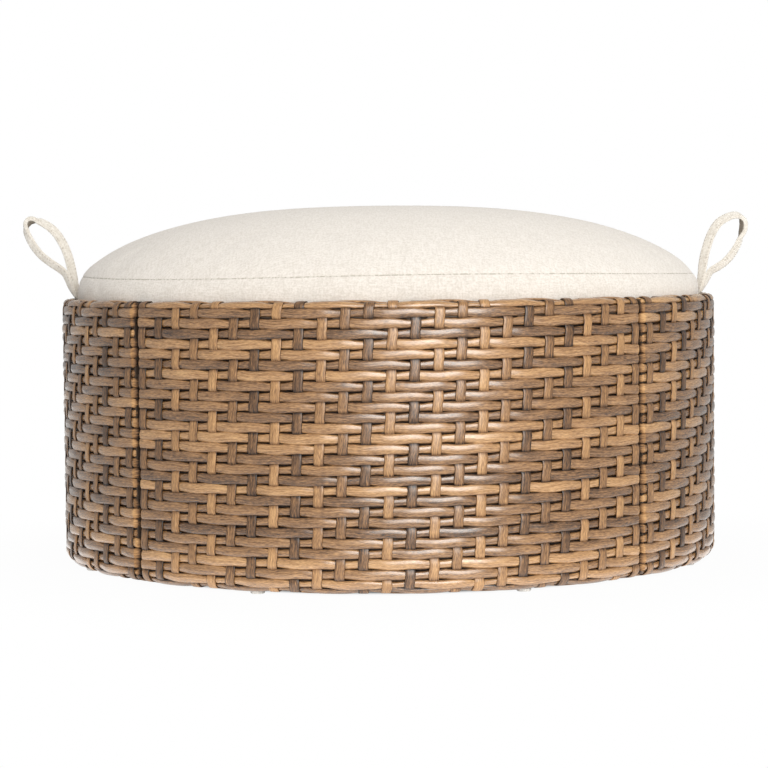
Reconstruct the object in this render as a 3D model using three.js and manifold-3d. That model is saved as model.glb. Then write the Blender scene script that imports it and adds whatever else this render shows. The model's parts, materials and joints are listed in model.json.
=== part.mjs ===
// Round woven ottoman: four curved woven side panels, bolted together at their seams, carry a
// deck, and a loose crowned cushion with a lifting loop at each end lies on it inside the rim.
// Millimetres, +Z up, origin on the floor under the middle of the drum, front towards -Y.
import * as THREE from 'three';
import { mergeVertices } from 'three/addons/utils/BufferGeometryUtils.js';
import Module from 'manifold-3d';

const wasm = await Module();
wasm.setup();

// Fits
const fitGap = 0.3; // between pieces that touch, or are welded or sewn together
const cutOverrun = 5; // by which a cut runs past the piece that it cuts
const drillClearance = 0.3; // round a stem or shank in its hole

// Drum, whose curves have their corners at the same angles in every ring, so that fits hold
const drumRadius = 400;
const rimHeight = 320;
const rimWidth = 16.4;
const panelCount = 4;
const panelFacets = 12;
const roundSides = 8; // of tubes, bolts, stems and drilled holes
const seamGap = 3.6; // between the ends of two panels

// Woven skin: its thickness, the corners that it turns round, and the lips that it ends in
const skin = 3;
const rimOuterCorner = 10;
const rimInnerCorner = 6;
const baseOuterCorner = 19;
const baseInnerCorner = 5;
const rimLip = 24; // down the inside from the rim
const baseLip = 26.5; // up the inside from the underside
const baseLipSlope = 6;

// Tube frame in each panel
const tubeWall = 1.2;
const topRailDepth = 18;
const bottomRailRadius = 6.35;
const postWidth = 12;
const middlePostWidth = 16;
const postFootShare = 0.5; // of the bottom rail's radius, up its flank from its middle

// Bolts across the seams, with a threaded insert in the far post
const boltRadius = 2.5;
const boltHeadRadius = 4;
const boltHeadHeight = 5;
const boltSocketRadius = 2;
const boltSocketDepth = 2.6;
const boltTip = 12; // past the seam's middle
const insertLength = 6.5;
const insertHeight = 11;
const lowerBoltHeight = 70;
const upperBoltDrop = 32.3; // below the deck

// Glides under the bottom rails
const glideRadius = 8;
const glideHeight = 3.2;
const glideBevel = 1;
const glideStemRadius = 3;
const glideStemLength = 8;
const glidesPerPanel = 2;

// Deck
const deckDrop = 51.7; // from the rim to the top of the plate
const plateClearance = 5.1; // from the plate's edge to the inside of the rim
const plateThickness = 3;
const drainRadius = 6;
const drainCircles = [[4, 0.4], [8, 0.75]]; // holes in a circle, and its share of the plate's radius
const hoopSetback = 1.5; // from the plate's edge
const hoopThickness = 5;
const hoopHeight = 12;
const barWidth = 20;
const bracketThickness = 3;
const bracketWidth = 28;
const bracketShelf = 20; // in from the flange
const bracketFlange = 34; // up from the shelf's underside

// Cushion
const coverThickness = 2;
const cushionClearance = 1.8; // from the band, where it is fullest, to the inside of the rim
const bandTaper = 6.8; // drawn in from there to the base
const bandTurnIn = 6.6; // drawn in from there to the seam
const fullestRise = 6; // of the band's fullest line, above the rim
const seamRise = 17; // of the seam, above that line
const crownRise = 87;
const crownPower = 2.707;
const crownRoot = 1 / 1.446;
const crownShares = [0, 0.38, 0.64, 0.83, 0.95, 1]; // of the seam's radius

// Zip round the back of the band
const zipStartAngle = 22.5; // degrees from +X
const zipEndAngle = 157.5;
const zipRise = 11.4; // above the cushion's base
const zipWidth = 12;
const zipThickness = 1.2;
const sliderGap = 0.6; // lets it run past the corners of the curve
const sliderWidth = 9;
const sliderThickness = 2.4;
const pullWidth = 5;
const pullThickness = 1.2;
const pullLength = 9;

// Loops: how far each reaches out and up from its fold, and its outline in shares of these
const loopFoldOutset = 2.6; // outwards from the band's fullest line
const loopFoldRise = 0.9; // above the rim
const loopReach = 64.1;
const loopRise = 99.4;
const loopNeckRadius = 1.75;
const loopWidth = 9;
const loopOuterShares = [
  [-0.003, 0.074], [0.017, 0.195], [0.036, 0.316], [0.072, 0.442], [0.158, 0.648], [0.298, 0.809],
  [0.516, 0.925], [0.719, 0.988], [0.844, 1], [0.953, 0.96], [1, 0.874], [0.977, 0.769],
  [0.875, 0.628], [0.727, 0.497], [0.548, 0.381], [0.345, 0.286], [0.236, 0.225], [0.142, 0.13],
  [0.056, 0.039],
];
const loopEyeShares = [
  [0.243, 0.351], [0.197, 0.437], [0.228, 0.557], [0.298, 0.678], [0.423, 0.779], [0.579, 0.854],
  [0.719, 0.894], [0.813, 0.889], [0.852, 0.829], [0.821, 0.748], [0.727, 0.643], [0.587, 0.537],
  [0.423, 0.442], [0.314, 0.381],
];
const tailThickness = 2.2;
const tailDrop = 20.6; // from its top
const tailBend = 5.2; // from its top to where it leaves the band
const tailLean = 1; // outwards over the bend

// Sizes that follow
const seamAngle = 180 / panelCount; // from a panel's middle to its seams
const facetAngle = 2 * seamAngle / panelFacets;
const weaveBase = glideHeight + fitGap;
const rimInnerRadius = drumRadius - rimWidth;
const bottomRailRing = drumRadius - baseOuterCorner;
const bottomRailHeight = weaveBase + skin + fitGap + bottomRailRadius;
const baseInnerRadius = bottomRailRing - bottomRailRadius - fitGap - skin;
const baseLipTop = weaveBase + baseLip;
const postInnerRadius = rimInnerRadius + skin + fitGap;
const topRailLow = rimHeight - skin - fitGap - topRailDepth;
const postFoot = bottomRailHeight + postFootShare * bottomRailRadius;
const postTop = topRailLow - fitGap;
const frameEnd = seamGap / 2 + skin + fitGap; // from the seam's middle to the frame
const postEnd = frameEnd + postWidth;
const boltRing = rimInnerRadius + (rimWidth - facetDrop(2 * postEnd)) / 2;
const middlePostInner = postInnerRadius + fitGap;
const middlePostOuter = drumRadius - skin - 2 * fitGap - facetDrop(middlePostWidth / 2);
const deckHeight = rimHeight - deckDrop;
const upperBoltHeight = deckHeight - upperBoltDrop;
const plateRadius = rimInnerRadius - plateClearance;
const hoopOuter = plateRadius - hoopSetback;
const hoopInner = hoopOuter - hoopThickness;
const hoopTop = deckHeight - plateThickness - fitGap;
const hoopLow = hoopTop - hoopHeight;
const cushionBase = deckHeight + fitGap;
const bandBase = cushionBase + coverThickness + fitGap;
const cushionFullRadius = rimInnerRadius - cushionClearance;
const cushionBaseRadius = cushionFullRadius - bandTaper;
const cushionSeamRadius = cushionFullRadius - bandTurnIn;
const cushionFullHeight = rimHeight + fullestRise;
const cushionSeamHeight = cushionFullHeight + seamRise;
const zipLow = cushionBase + zipRise;
const zipHigh = zipLow + zipWidth;
const loopFoldRadius = cushionFullRadius + loopFoldOutset;
const loopFoldHeight = rimHeight + loopFoldRise;

const finishes = {
  weave: { color: 0x8f6b48, roughness: 0.45, metalness: 0 },
  frame: { color: 0x4a3a2e, roughness: 0.5, metalness: 0.7 },
  fastener: { color: 0xb8b8b6, roughness: 0.35, metalness: 0.9 },
  glide: { color: 0x26221f, roughness: 0.6, metalness: 0 },
  fabric: { color: 0xe6dfd2, roughness: 0.95, metalness: 0 },
  foam: { color: 0xf0e9c8, roughness: 1, metalness: 0 },
  zip: { color: 0xd8d0c0, roughness: 0.7, metalness: 0 },
};

// How far a flat piece must draw back to fit in a curve of flat facets, at half its width
function facetDrop(halfWidth) {
  return halfWidth * Math.tan(THREE.MathUtils.degToRad(facetAngle / 2));
}

function makeMesh(name, solid, finish) {
  const { vertProperties, triVerts } = solid.getMesh();
  const geometry = new THREE.BufferGeometry();
  geometry.setAttribute('position', new THREE.BufferAttribute(vertProperties, 3));
  geometry.setIndex(new THREE.BufferAttribute(triVerts, 1));
  geometry.computeVertexNormals();
  const mesh = new THREE.Mesh(geometry, new THREE.MeshStandardMaterial(finish));
  mesh.name = name;
  return mesh;
}

// The solid that a closed geometry bounds
function solidOf(geometry) {
  geometry.deleteAttribute('normal');
  geometry.deleteAttribute('uv');
  const merged = mergeVertices(geometry);
  const corners = merged.index.array;
  const kept = [];
  for (let i = 0; i < corners.length; i += 3) {
    const [a, b, c] = corners.slice(i, i + 3);
    if (a !== b && b !== c && c !== a) kept.push(a, b, c);
  }
  return new wasm.Manifold(new wasm.Mesh({
    numProp: 3,
    vertProperties: new Float32Array(merged.attributes.position.array),
    triVerts: new Uint32Array(kept),
  }));
}

// An outline of [radius, height] points, anticlockwise, carried round +Z between two angles
function arcRing(outline, fromAngle, toAngle) {
  const steps = Math.round((toAngle - fromAngle) / facetAngle);
  const count = outline.length;
  const positions = [];
  for (let i = 0; i <= steps; i += 1) {
    const angle = THREE.MathUtils.degToRad(fromAngle + i * facetAngle);
    for (const [r, z] of outline) positions.push(r * Math.cos(angle), r * Math.sin(angle), z);
  }
  const faces = [];
  for (let i = 0; i < steps; i += 1) {
    for (let j = 0; j < count; j += 1) {
      const a = i * count + j;
      const b = i * count + ((j + 1) % count);
      faces.push(a, a + count, b, b, a + count, b + count);
    }
  }
  const flat = outline.map(([r, z]) => new THREE.Vector2(r, z));
  for (const [a, b, c] of THREE.ShapeUtils.triangulateShape(flat, [])) {
    const last = steps * count;
    faces.push(a, b, c, last + a, last + c, last + b);
  }
  const geometry = new THREE.BufferGeometry();
  geometry.setAttribute('position', new THREE.Float32BufferAttribute(positions, 3));
  geometry.setIndex(faces);
  return solidOf(geometry);
}

// A profile of [radius, height] points from the axis to the axis, turned right round +Z
function turned(profile, sides) {
  const points = profile.map(([r, z]) => new THREE.Vector2(r, z));
  return solidOf(new THREE.LatheGeometry(points, sides).rotateX(Math.PI / 2));
}

// An outline that closes on itself, turned right round +Z
function turnedRing(outline, sides) {
  return turned([...outline, outline[0]], sides);
}

function disc(radius, low, high, sides) {
  return turned([[0, low], [radius, low], [radius, high], [0, high]], sides);
}

function rod(radius, low, high) {
  return disc(radius, low, high, roundSides);
}

// A box between two corners
function block(low, high) {
  const size = high.map((value, i) => value - low[i]);
  const middle = high.map((value, i) => (value + low[i]) / 2);
  return solidOf(new THREE.BoxGeometry(...size).translate(...middle));
}

function rectangle(innerRadius, outerRadius, low, high) {
  return [[innerRadius, low], [outerRadius, low], [outerRadius, high], [innerRadius, high]];
}

function moved(solid, matrix) {
  return solid.transform(matrix.elements);
}

// A round corner of an outline, added as points between two angles
function addCorner(outline, r, z, radius, fromAngle, toAngle, steps) {
  for (let i = 0; i <= steps; i += 1) {
    const angle = THREE.MathUtils.degToRad(fromAngle + (toAngle - fromAngle) * i / steps);
    outline.push([r + radius * Math.cos(angle), z + radius * Math.sin(angle)]);
  }
}

// The panel's section, drawn in by the inset on all sides
function panelSection(inset) {
  const outline = [];
  const innerFoot = baseInnerRadius + baseInnerCorner;
  addCorner(outline, innerFoot, weaveBase + baseInnerCorner, baseInnerCorner - inset, 180, 270, 1);
  addCorner(outline, bottomRailRing, weaveBase + baseOuterCorner, baseOuterCorner - inset, 270, 360, 3);
  const outerTop = drumRadius - rimOuterCorner;
  addCorner(outline, outerTop, rimHeight - rimOuterCorner, rimOuterCorner - inset, 0, 90, 2);
  const innerTop = rimInnerRadius + rimInnerCorner;
  addCorner(outline, innerTop, rimHeight - rimInnerCorner, rimInnerCorner - inset, 90, 180, 2);
  outline.push([rimInnerRadius + inset, baseLipTop + baseLipSlope]);
  outline.push([baseInnerRadius + inset, baseLipTop]);
  return outline;
}

// A panel's pieces are made with its middle towards +X, between one seam and the next
function seamNormal(side) {
  const angle = THREE.MathUtils.degToRad(seamAngle);
  return [Math.sin(angle), -side * Math.cos(angle), 0];
}

function panelRing(outline) {
  return arcRing(outline, -seamAngle, seamAngle);
}

// Cuts both ends of a ring off, square to the seams' planes and the inset away from them
function trimEnds(solid, inset) {
  return solid.trimByPlane(seamNormal(1), inset).trimByPlane(seamNormal(-1), inset);
}

// The part of a ring between two distances from one seam's plane
function sliceAtSeam(solid, side, near, far) {
  const normal = seamNormal(side);
  const back = normal.map((value) => -value);
  return solid.trimByPlane(normal, near).trimByPlane(back, -far);
}

// Turns a solid whose axis is +Z to lie across one seam, pointing into the panel
function acrossSeam(solid, side, height) {
  const normal = new THREE.Vector3(...seamNormal(side));
  const turn = new THREE.Quaternion().setFromUnitVectors(new THREE.Vector3(0, 0, 1), normal);
  const angle = THREE.MathUtils.degToRad(side * seamAngle);
  const place = new THREE.Vector3(boltRing * Math.cos(angle), boltRing * Math.sin(angle), height);
  return moved(solid, new THREE.Matrix4().compose(place, turn, new THREE.Vector3(1, 1, 1)));
}

const boltHeights = { lower: lowerBoltHeight, upper: upperBoltHeight };

// Everything that is drilled for the bolts and the glides' stems
function drills() {
  const cuts = [];
  for (const side of [-1, 1]) {
    for (const height of Object.values(boltHeights)) {
      const drill = rod(boltRadius + drillClearance, -postEnd - cutOverrun, postEnd + cutOverrun);
      cuts.push(acrossSeam(drill, side, height));
    }
  }
  for (const matrix of glidePlaces()) {
    cuts.push(moved(rod(glideStemRadius + drillClearance, -cutOverrun, bottomRailHeight), matrix));
  }
  return wasm.Manifold.union(cuts);
}

function glidePlaces() {
  const places = [];
  for (let i = 0; i < glidesPerPanel; i += 1) {
    const angle = THREE.MathUtils.degToRad(seamAngle * ((2 * i + 1) / glidesPerPanel - 1));
    const x = bottomRailRing * Math.cos(angle);
    const y = bottomRailRing * Math.sin(angle);
    places.push(new THREE.Matrix4().makeTranslation(x, y, 0));
  }
  return places;
}

function weaveSkin(holes) {
  const outside = trimEnds(panelRing(panelSection(0)), seamGap / 2);
  const hollow = trimEnds(panelRing(panelSection(skin)), seamGap / 2 + skin);
  const inner = baseInnerRadius - cutOverrun;
  const outer = postInnerRadius + fitGap;
  const opening = rectangle(inner, outer, baseLipTop, rimHeight - rimLip);
  const window = trimEnds(panelRing(opening), postEnd + fitGap);
  return outside.subtract(hollow).subtract(window).subtract(holes);
}

function topRail() {
  const wall = skin + fitGap + tubeWall;
  const reach = rectangle(rimInnerRadius, drumRadius, topRailLow, rimHeight);
  const boreHigh = rimHeight - Math.max(rimInnerCorner, rimOuterCorner);
  const bore = rectangle(rimInnerRadius + wall, drumRadius - wall, topRailLow + tubeWall, boreHigh);
  const outside = panelRing(panelSection(skin + fitGap)).intersect(panelRing(reach));
  return trimEnds(outside.subtract(panelRing(bore)), frameEnd);
}

function roundOutline(r, z, radius) {
  const outline = [];
  addCorner(outline, r, z, radius, 0, 360, roundSides);
  return outline.slice(0, -1);
}

function bottomRail(holes) {
  const outline = roundOutline(bottomRailRing, bottomRailHeight, bottomRailRadius);
  const bore = roundOutline(bottomRailRing, bottomRailHeight, bottomRailRadius - tubeWall);
  const tube = panelRing(outline).subtract(panelRing(bore));
  return trimEnds(tube, frameEnd).subtract(holes);
}

// The frame's space between two radii, from the posts' feet to the top rail
function postSpace(inset, innerRadius, low, high) {
  const reach = rectangle(innerRadius, drumRadius, low, high);
  return panelRing(panelSection(skin + fitGap + inset)).intersect(panelRing(reach));
}

function endPost(side, holes) {
  const outside = postSpace(0, postInnerRadius, postFoot, postTop);
  const bore = postSpace(tubeWall, postInnerRadius + tubeWall, postFoot - cutOverrun, postTop + cutOverrun);
  const boreNear = frameEnd + tubeWall;
  const tube = sliceAtSeam(outside, side, frameEnd, postEnd)
    .subtract(sliceAtSeam(bore, side, boreNear, postEnd - tubeWall));
  if (side > 0) return tube.subtract(holes);
  const inserts = Object.values(boltHeights).map((height) => {
    const low = height - insertHeight / 2;
    const space = postSpace(0, postInnerRadius, low, low + insertHeight);
    return sliceAtSeam(space, side, frameEnd, frameEnd + tubeWall + insertLength);
  });
  return wasm.Manifold.union([tube, ...inserts]).subtract(holes);
}

function middlePost() {
  const half = middlePostWidth / 2;
  const outside = block([middlePostInner, -half, postFoot], [middlePostOuter, half, postTop]);
  const bore = block(
    [middlePostInner + tubeWall, tubeWall - half, postFoot - cutOverrun],
    [middlePostOuter - tubeWall, half - tubeWall, postTop + cutOverrun],
  );
  const room = postSpace(0, postInnerRadius, postFoot, postTop);
  return outside.intersect(room).subtract(bore);
}

function bolt(height) {
  const seat = postEnd + fitGap;
  const shape = turned([
    [0, -boltTip], [boltRadius, -boltTip], [boltRadius, seat], [boltHeadRadius, seat],
    [boltHeadRadius, seat + boltHeadHeight], [0, seat + boltHeadHeight],
  ], roundSides);
  const socketFloor = seat + boltHeadHeight - boltSocketDepth;
  const socket = disc(boltSocketRadius, socketFloor, seat + boltHeadHeight + cutOverrun, 6);
  return acrossSeam(shape.subtract(socket), 1, height);
}

function glide(matrix) {
  return moved(turned([
    [0, 0], [glideRadius - glideBevel, 0], [glideRadius, glideBevel], [glideRadius, glideHeight],
    [glideStemRadius, glideHeight], [glideStemRadius, glideHeight + glideStemLength],
    [0, glideHeight + glideStemLength],
  ], roundSides), matrix);
}

// An L of sheet: its flange lies on the middle post, and the deck's hoop lies on its shelf
function deckBracket() {
  const outer = middlePostInner - fitGap;
  const inner = outer - bracketThickness;
  const shelfTop = hoopLow - fitGap;
  const low = shelfTop - bracketThickness;
  const half = bracketWidth / 2;
  const flange = block([inner, -half, low], [outer, half, low + bracketFlange]);
  const shelf = block([inner - bracketShelf, -half, low], [outer, half, shelfTop]);
  return flange.add(shelf);
}

function panel(name, turn) {
  const holes = drills();
  const group = new THREE.Group();
  group.rotation.z = THREE.MathUtils.degToRad(turn);
  group.add(
    makeMesh(`${name}_weave`, weaveSkin(holes), finishes.weave),
    makeMesh(`${name}_top_rail`, topRail(), finishes.frame),
    makeMesh(`${name}_bottom_rail`, bottomRail(holes), finishes.frame),
    makeMesh(`${name}_post_left`, endPost(-1, holes), finishes.frame),
    makeMesh(`${name}_post_right`, endPost(1, holes), finishes.frame),
    makeMesh(`${name}_post_middle`, middlePost(), finishes.frame),
    makeMesh(`${name}_deck_bracket`, deckBracket(), finishes.frame),
  );
  for (const [level, height] of Object.entries(boltHeights)) {
    group.add(makeMesh(`${name}_bolt_${level}`, bolt(height), finishes.fastener));
  }
  glidePlaces().forEach((matrix, i) => {
    group.add(makeMesh(`${name}_glide_${i + 1}`, glide(matrix), finishes.glide));
  });
  return group;
}

const ringSides = panelCount * panelFacets;

function deckPlate() {
  const low = deckHeight - plateThickness;
  const drains = [];
  for (const [count, share] of drainCircles) {
    for (let i = 0; i < count; i += 1) {
      const angle = 2 * Math.PI * (i + 1 / 2) / count;
      const ring = share * plateRadius;
      const place = new THREE.Matrix4().makeTranslation(ring * Math.cos(angle), ring * Math.sin(angle), 0);
      drains.push(moved(rod(drainRadius, low - cutOverrun, deckHeight + cutOverrun), place));
    }
  }
  return disc(plateRadius, low, deckHeight, ringSides).subtract(wasm.Manifold.union(drains));
}

// A square-ended tube along +X between two places
function deckBar(from, to) {
  const half = barWidth / 2;
  const outside = block([from, -half, hoopLow], [to, half, hoopTop]);
  const bore = block(
    [from - cutOverrun, tubeWall - half, hoopLow + tubeWall],
    [to + cutOverrun, half - tubeWall, hoopTop - tubeWall],
  );
  return outside.subtract(bore);
}

function deck() {
  const group = new THREE.Group();
  const barEnd = hoopInner - facetDrop(barWidth / 2) - fitGap;
  const longBar = makeMesh('deck_bar_long', deckBar(-barEnd, barEnd), finishes.frame);
  longBar.rotation.z = Math.PI / 2;
  const rightBar = makeMesh('deck_bar_right', deckBar(barWidth / 2 + fitGap, barEnd), finishes.frame);
  const leftBar = makeMesh('deck_bar_left', deckBar(barWidth / 2 + fitGap, barEnd), finishes.frame);
  leftBar.rotation.z = Math.PI;
  const hoop = turnedRing(rectangle(hoopInner, hoopOuter, hoopLow, hoopTop), ringSides);
  group.add(
    makeMesh('deck_plate', deckPlate(), finishes.frame),
    makeMesh('deck_hoop', hoop, finishes.frame),
    longBar,
    rightBar,
    leftBar,
  );
  return group;
}

// The cushion's side and crown, drawn in by the inset: the band's points, then the crown's
function bandRadius(height) {
  const share = (height - cushionBase) / (cushionFullHeight - cushionBase);
  return cushionBaseRadius + (cushionFullRadius - cushionBaseRadius) * share;
}

function crownPoints(inset, lift) {
  const radius = cushionSeamRadius - inset;
  return crownShares.map((share) => {
    const rise = (crownRise - inset) * (1 - share ** crownPower) ** crownRoot;
    return [radius * share, cushionSeamHeight + lift + rise];
  });
}

function topPanel() {
  const outer = crownPoints(0, 0).reverse();
  const inner = crownPoints(coverThickness, 0);
  return turned([...inner, ...outer], ringSides);
}

function band() {
  const top = cushionSeamHeight - fitGap;
  const outer = [
    [bandRadius(bandBase), bandBase], [cushionFullRadius, cushionFullHeight], [cushionSeamRadius, top],
  ];
  const inner = outer.map(([r, z]) => [r - coverThickness, z]).reverse();
  return turnedRing([...outer, ...inner], ringSides);
}

function foamCore() {
  const inset = coverThickness + fitGap;
  return turned([
    [0, bandBase],
    [bandRadius(bandBase) - inset, bandBase],
    [cushionFullRadius - inset, cushionFullHeight],
    ...crownPoints(inset, -fitGap).reverse(),
  ], ringSides);
}

function zipStrip() {
  const low = bandRadius(zipLow) + fitGap;
  const high = bandRadius(zipHigh) + fitGap;
  return arcRing([
    [low, zipLow], [low + zipThickness, zipLow], [high + zipThickness, zipHigh], [high, zipHigh],
  ], zipStartAngle, zipEndAngle);
}

// The slider with its pull tab, made on the zip's first end
function zipSlider() {
  const inner = bandRadius(zipHigh) + fitGap + zipThickness + sliderGap;
  const outer = inner + sliderThickness;
  const body = block([inner, -sliderWidth / 2, zipLow], [outer, sliderWidth / 2, zipHigh]);
  const pull = block(
    [outer - pullThickness, -pullWidth / 2, zipLow - pullLength],
    [outer, pullWidth / 2, zipHigh - pullLength],
  );
  const turn = THREE.MathUtils.degToRad(zipStartAngle) + sliderWidth / inner;
  return moved(body.add(pull), new THREE.Matrix4().makeRotationZ(turn));
}

function smoothPoints(shares, count) {
  const points = shares.map(([u, v]) => new THREE.Vector2(u * loopReach, v * loopRise));
  return new THREE.SplineCurve(points).getSpacedPoints(count);
}

// The loop reaches out along +X and up +Z from its fold, which turns about +Y
function liftingLoop() {
  const neck = [];
  addCorner(neck, 0, 0, loopNeckRadius, 360, 180, 4);
  const outline = [...neck.map(([x, z]) => new THREE.Vector2(x, z)), ...smoothPoints(loopOuterShares, 30)];
  const eye = smoothPoints([...loopEyeShares, loopEyeShares[0]], 20).slice(0, -1);
  const strap = acrossLoop(outline, loopWidth).subtract(acrossLoop(eye, loopWidth + cutOverrun));
  return strap.translate([loopFoldRadius, 0, loopFoldHeight]);
}

// An outline drawn in the plane of +X and +Z, carried along Y
function acrossLoop(outline, depth) {
  const shape = new THREE.Shape(outline);
  const geometry = new THREE.ExtrudeGeometry(shape, { depth, bevelEnabled: false });
  return solidOf(geometry.translate(0, 0, -depth / 2).rotateX(Math.PI / 2));
}

// The loop's sewn-down ends: down the band inside the rim
function loopTail() {
  const top = loopFoldHeight - loopNeckRadius - fitGap;
  const bend = top - tailBend;
  const low = top - tailDrop;
  const face = (height) => bandRadius(height) + fitGap;
  return acrossLoop([
    new THREE.Vector2(face(low), low),
    new THREE.Vector2(face(low) + tailThickness, low),
    new THREE.Vector2(face(bend) + tailThickness, bend),
    new THREE.Vector2(face(bend) + tailThickness + tailLean, top),
    new THREE.Vector2(face(bend) + tailLean, top),
    new THREE.Vector2(face(bend), bend),
  ], loopWidth);
}

function cushion() {
  const group = new THREE.Group();
  const baseDisc = disc(bandRadius(cushionBase), cushionBase, cushionBase + coverThickness, ringSides);
  group.add(
    makeMesh('cushion_top_panel', topPanel(), finishes.fabric),
    makeMesh('cushion_band', band(), finishes.fabric),
    makeMesh('cushion_bottom_panel', baseDisc, finishes.fabric),
    makeMesh('cushion_foam_core', foamCore(), finishes.foam),
    makeMesh('cushion_zip', zipStrip(), finishes.zip),
    makeMesh('cushion_zip_slider', zipSlider(), finishes.fastener),
  );
  for (const [side, turn] of [['right', 0], ['left', Math.PI]]) {
    const loop = makeMesh(`loop_${side}`, liftingLoop(), finishes.fabric);
    const tail = makeMesh(`loop_${side}_tail`, loopTail(), finishes.fabric);
    loop.rotation.z = turn;
    tail.rotation.z = turn;
    group.add(loop, tail);
  }
  return group;
}

const panelTurns = { front: -90, right: 0, back: 90, left: 180 };
const ottoman = new THREE.Group();
for (const [name, turn] of Object.entries(panelTurns)) ottoman.add(panel(name, turn));
ottoman.add(deck(), cushion());

export default ottoman;
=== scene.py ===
"""Round woven ottoman: four woven side panels on a tube frame, with a loose crowned cushion.

Metres, +Z up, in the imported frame: the origin is on the floor under the middle of the drum, and
the front faces -Y. Sizes that the frame holds are read from its boxes.
"""
import json
import logging
import math
from dataclasses import dataclass
from enum import Enum
from typing import Any, Sequence

import bpy
import numpy as np
from mathutils import Matrix, Vector


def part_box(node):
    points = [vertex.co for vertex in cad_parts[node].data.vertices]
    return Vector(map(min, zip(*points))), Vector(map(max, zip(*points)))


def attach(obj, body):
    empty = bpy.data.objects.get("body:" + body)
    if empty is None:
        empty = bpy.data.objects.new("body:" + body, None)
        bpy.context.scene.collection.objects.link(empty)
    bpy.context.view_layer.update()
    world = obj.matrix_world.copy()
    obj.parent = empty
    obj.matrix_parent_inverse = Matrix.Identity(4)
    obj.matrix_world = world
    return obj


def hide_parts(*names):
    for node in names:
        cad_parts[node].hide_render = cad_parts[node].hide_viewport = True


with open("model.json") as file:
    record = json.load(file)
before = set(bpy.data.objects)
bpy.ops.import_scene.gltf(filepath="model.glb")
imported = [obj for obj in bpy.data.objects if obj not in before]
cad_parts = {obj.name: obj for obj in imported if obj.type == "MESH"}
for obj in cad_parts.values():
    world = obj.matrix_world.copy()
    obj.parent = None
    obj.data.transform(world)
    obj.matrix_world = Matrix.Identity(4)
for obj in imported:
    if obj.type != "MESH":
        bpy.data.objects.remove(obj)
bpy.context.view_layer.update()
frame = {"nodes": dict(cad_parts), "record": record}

Array = np.ndarray
Color = tuple[float, float, float]
LOG = logging.getLogger("ottoman")
MM = 0.001
SEAM_ANGLE = math.radians(45)  # from a panel's middle to each of its seams
GOLDEN_ANGLE = 2.399  # radians between one strand's phase and the next one's

# Places (radius, height) in millimetres that the straps of the lifting loops run through
LEFT_LOOP = (
    (384.9, 318.9), (386.2, 327), (388.0, 336), (389.6, 345), (391.2, 352), (393.2, 361),
    (396.6, 374), (402.2, 387.5), (411.5, 402), (423.4, 412), (435.0, 417.4), (443.2, 417.2),
    (447.4, 411.5), (447.6, 403.5), (443.6, 394), (436.7, 382.5), (428.5, 372.8), (417.7, 364.2),
    (407.4, 357.2), (400.2, 351.0), (396.6, 343), (392.6, 332), (386.6, 319.6),
)
RIGHT_LOOP = (
    (384.9, 318.9), (386.8, 330), (388.8, 341), (390.2, 352), (392.6, 366), (396.5, 380),
    (401.4, 393), (409.5, 405.4), (419.0, 412), (429.5, 415.6), (437.5, 413.6), (441.4, 407.0),
    (441.4, 399.0), (439.0, 391.0), (433.8, 378.6), (426.0, 366.4), (417.0, 357.0),
    (408.0, 351.0), (400.0, 346.2), (395.6, 338), (391.4, 329), (386.6, 319.6),
)


class Body(Enum):
    """The bodies that pieces ride on."""

    DRUM = "drum"
    CUSHION = "cushion"
    ZIP_SLIDER = "zip_slider"
    LOOP_LEFT = "loop_left"
    LOOP_RIGHT = "loop_right"


class Slot(Enum):
    """The record's material slots."""

    WICKER = "resin_wicker"
    FRAME = "frame_metal"
    DECK = "deck_metal"
    FASTENER = "fastener_metal"
    GLIDE = "glide_plastic"
    FABRIC = "cushion_fabric"
    LOOP = "loop_fabric"
    ZIP = "zip_tape"
    FOAM = "foam"


class Tone(Enum):
    """How light a strand is, from 0 to 1."""

    DEEP = 0.29
    DARK = 0.34
    BROWN = 0.40
    UMBER = 0.47
    MID = 0.55
    TAN = 0.66
    LIGHT = 0.75


def full_turn(count: int) -> Array:
    """Give equally spaced angles round a circle, the first of them 0."""
    return np.linspace(0, 2 * np.pi, count, endpoint=False)


def rounded(wave: Array, power: float) -> Array:
    """Raise a wave's size to a power and keep its sign, which turns a circle into an oblong."""
    return np.sign(wave) * np.abs(wave) ** power


def walked(points: Array) -> Array:
    """Give each point's distance along its path: the sum of the steps up to it."""
    return np.concatenate([[0], np.cumsum(np.linalg.norm(np.diff(points, axis=0), axis=1))])


def grid_quads(rings: int, around: int) -> Array:
    """Join rings of points, each closed, to the rings after them.

    Args:
        rings: How many rings there are.
        around: Points in each ring.

    Returns:
        Quads, one row of four points each.
    """
    ring, step = np.meshgrid(np.arange(rings - 1), np.arange(around), indexing="ij")
    here = ring * around + step
    beside = ring * around + (step + 1) % around
    return np.stack([here, beside, beside + around, here + around], -1).reshape(-1, 4)


def tube_faces(tubes: int, steps: int, sides: int) -> list[Array]:
    """Join tubes whose points are stacked as (tube, step, side), and close both ends.

    Args:
        tubes: How many tubes there are.
        steps: Sections along each tube.
        sides: Points round each section.

    Returns:
        The sides' quads and the ends' polygons.
    """
    last = (steps - 1) * sides
    ends = np.stack([np.arange(sides)[::-1], last + np.arange(sides)])
    shift = (np.arange(tubes) * steps * sides)[:, None, None]
    quads = grid_quads(steps, sides)[None] + shift
    return [quads.reshape(-1, 4), (ends[None] + shift).reshape(-1, sides)]


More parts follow.
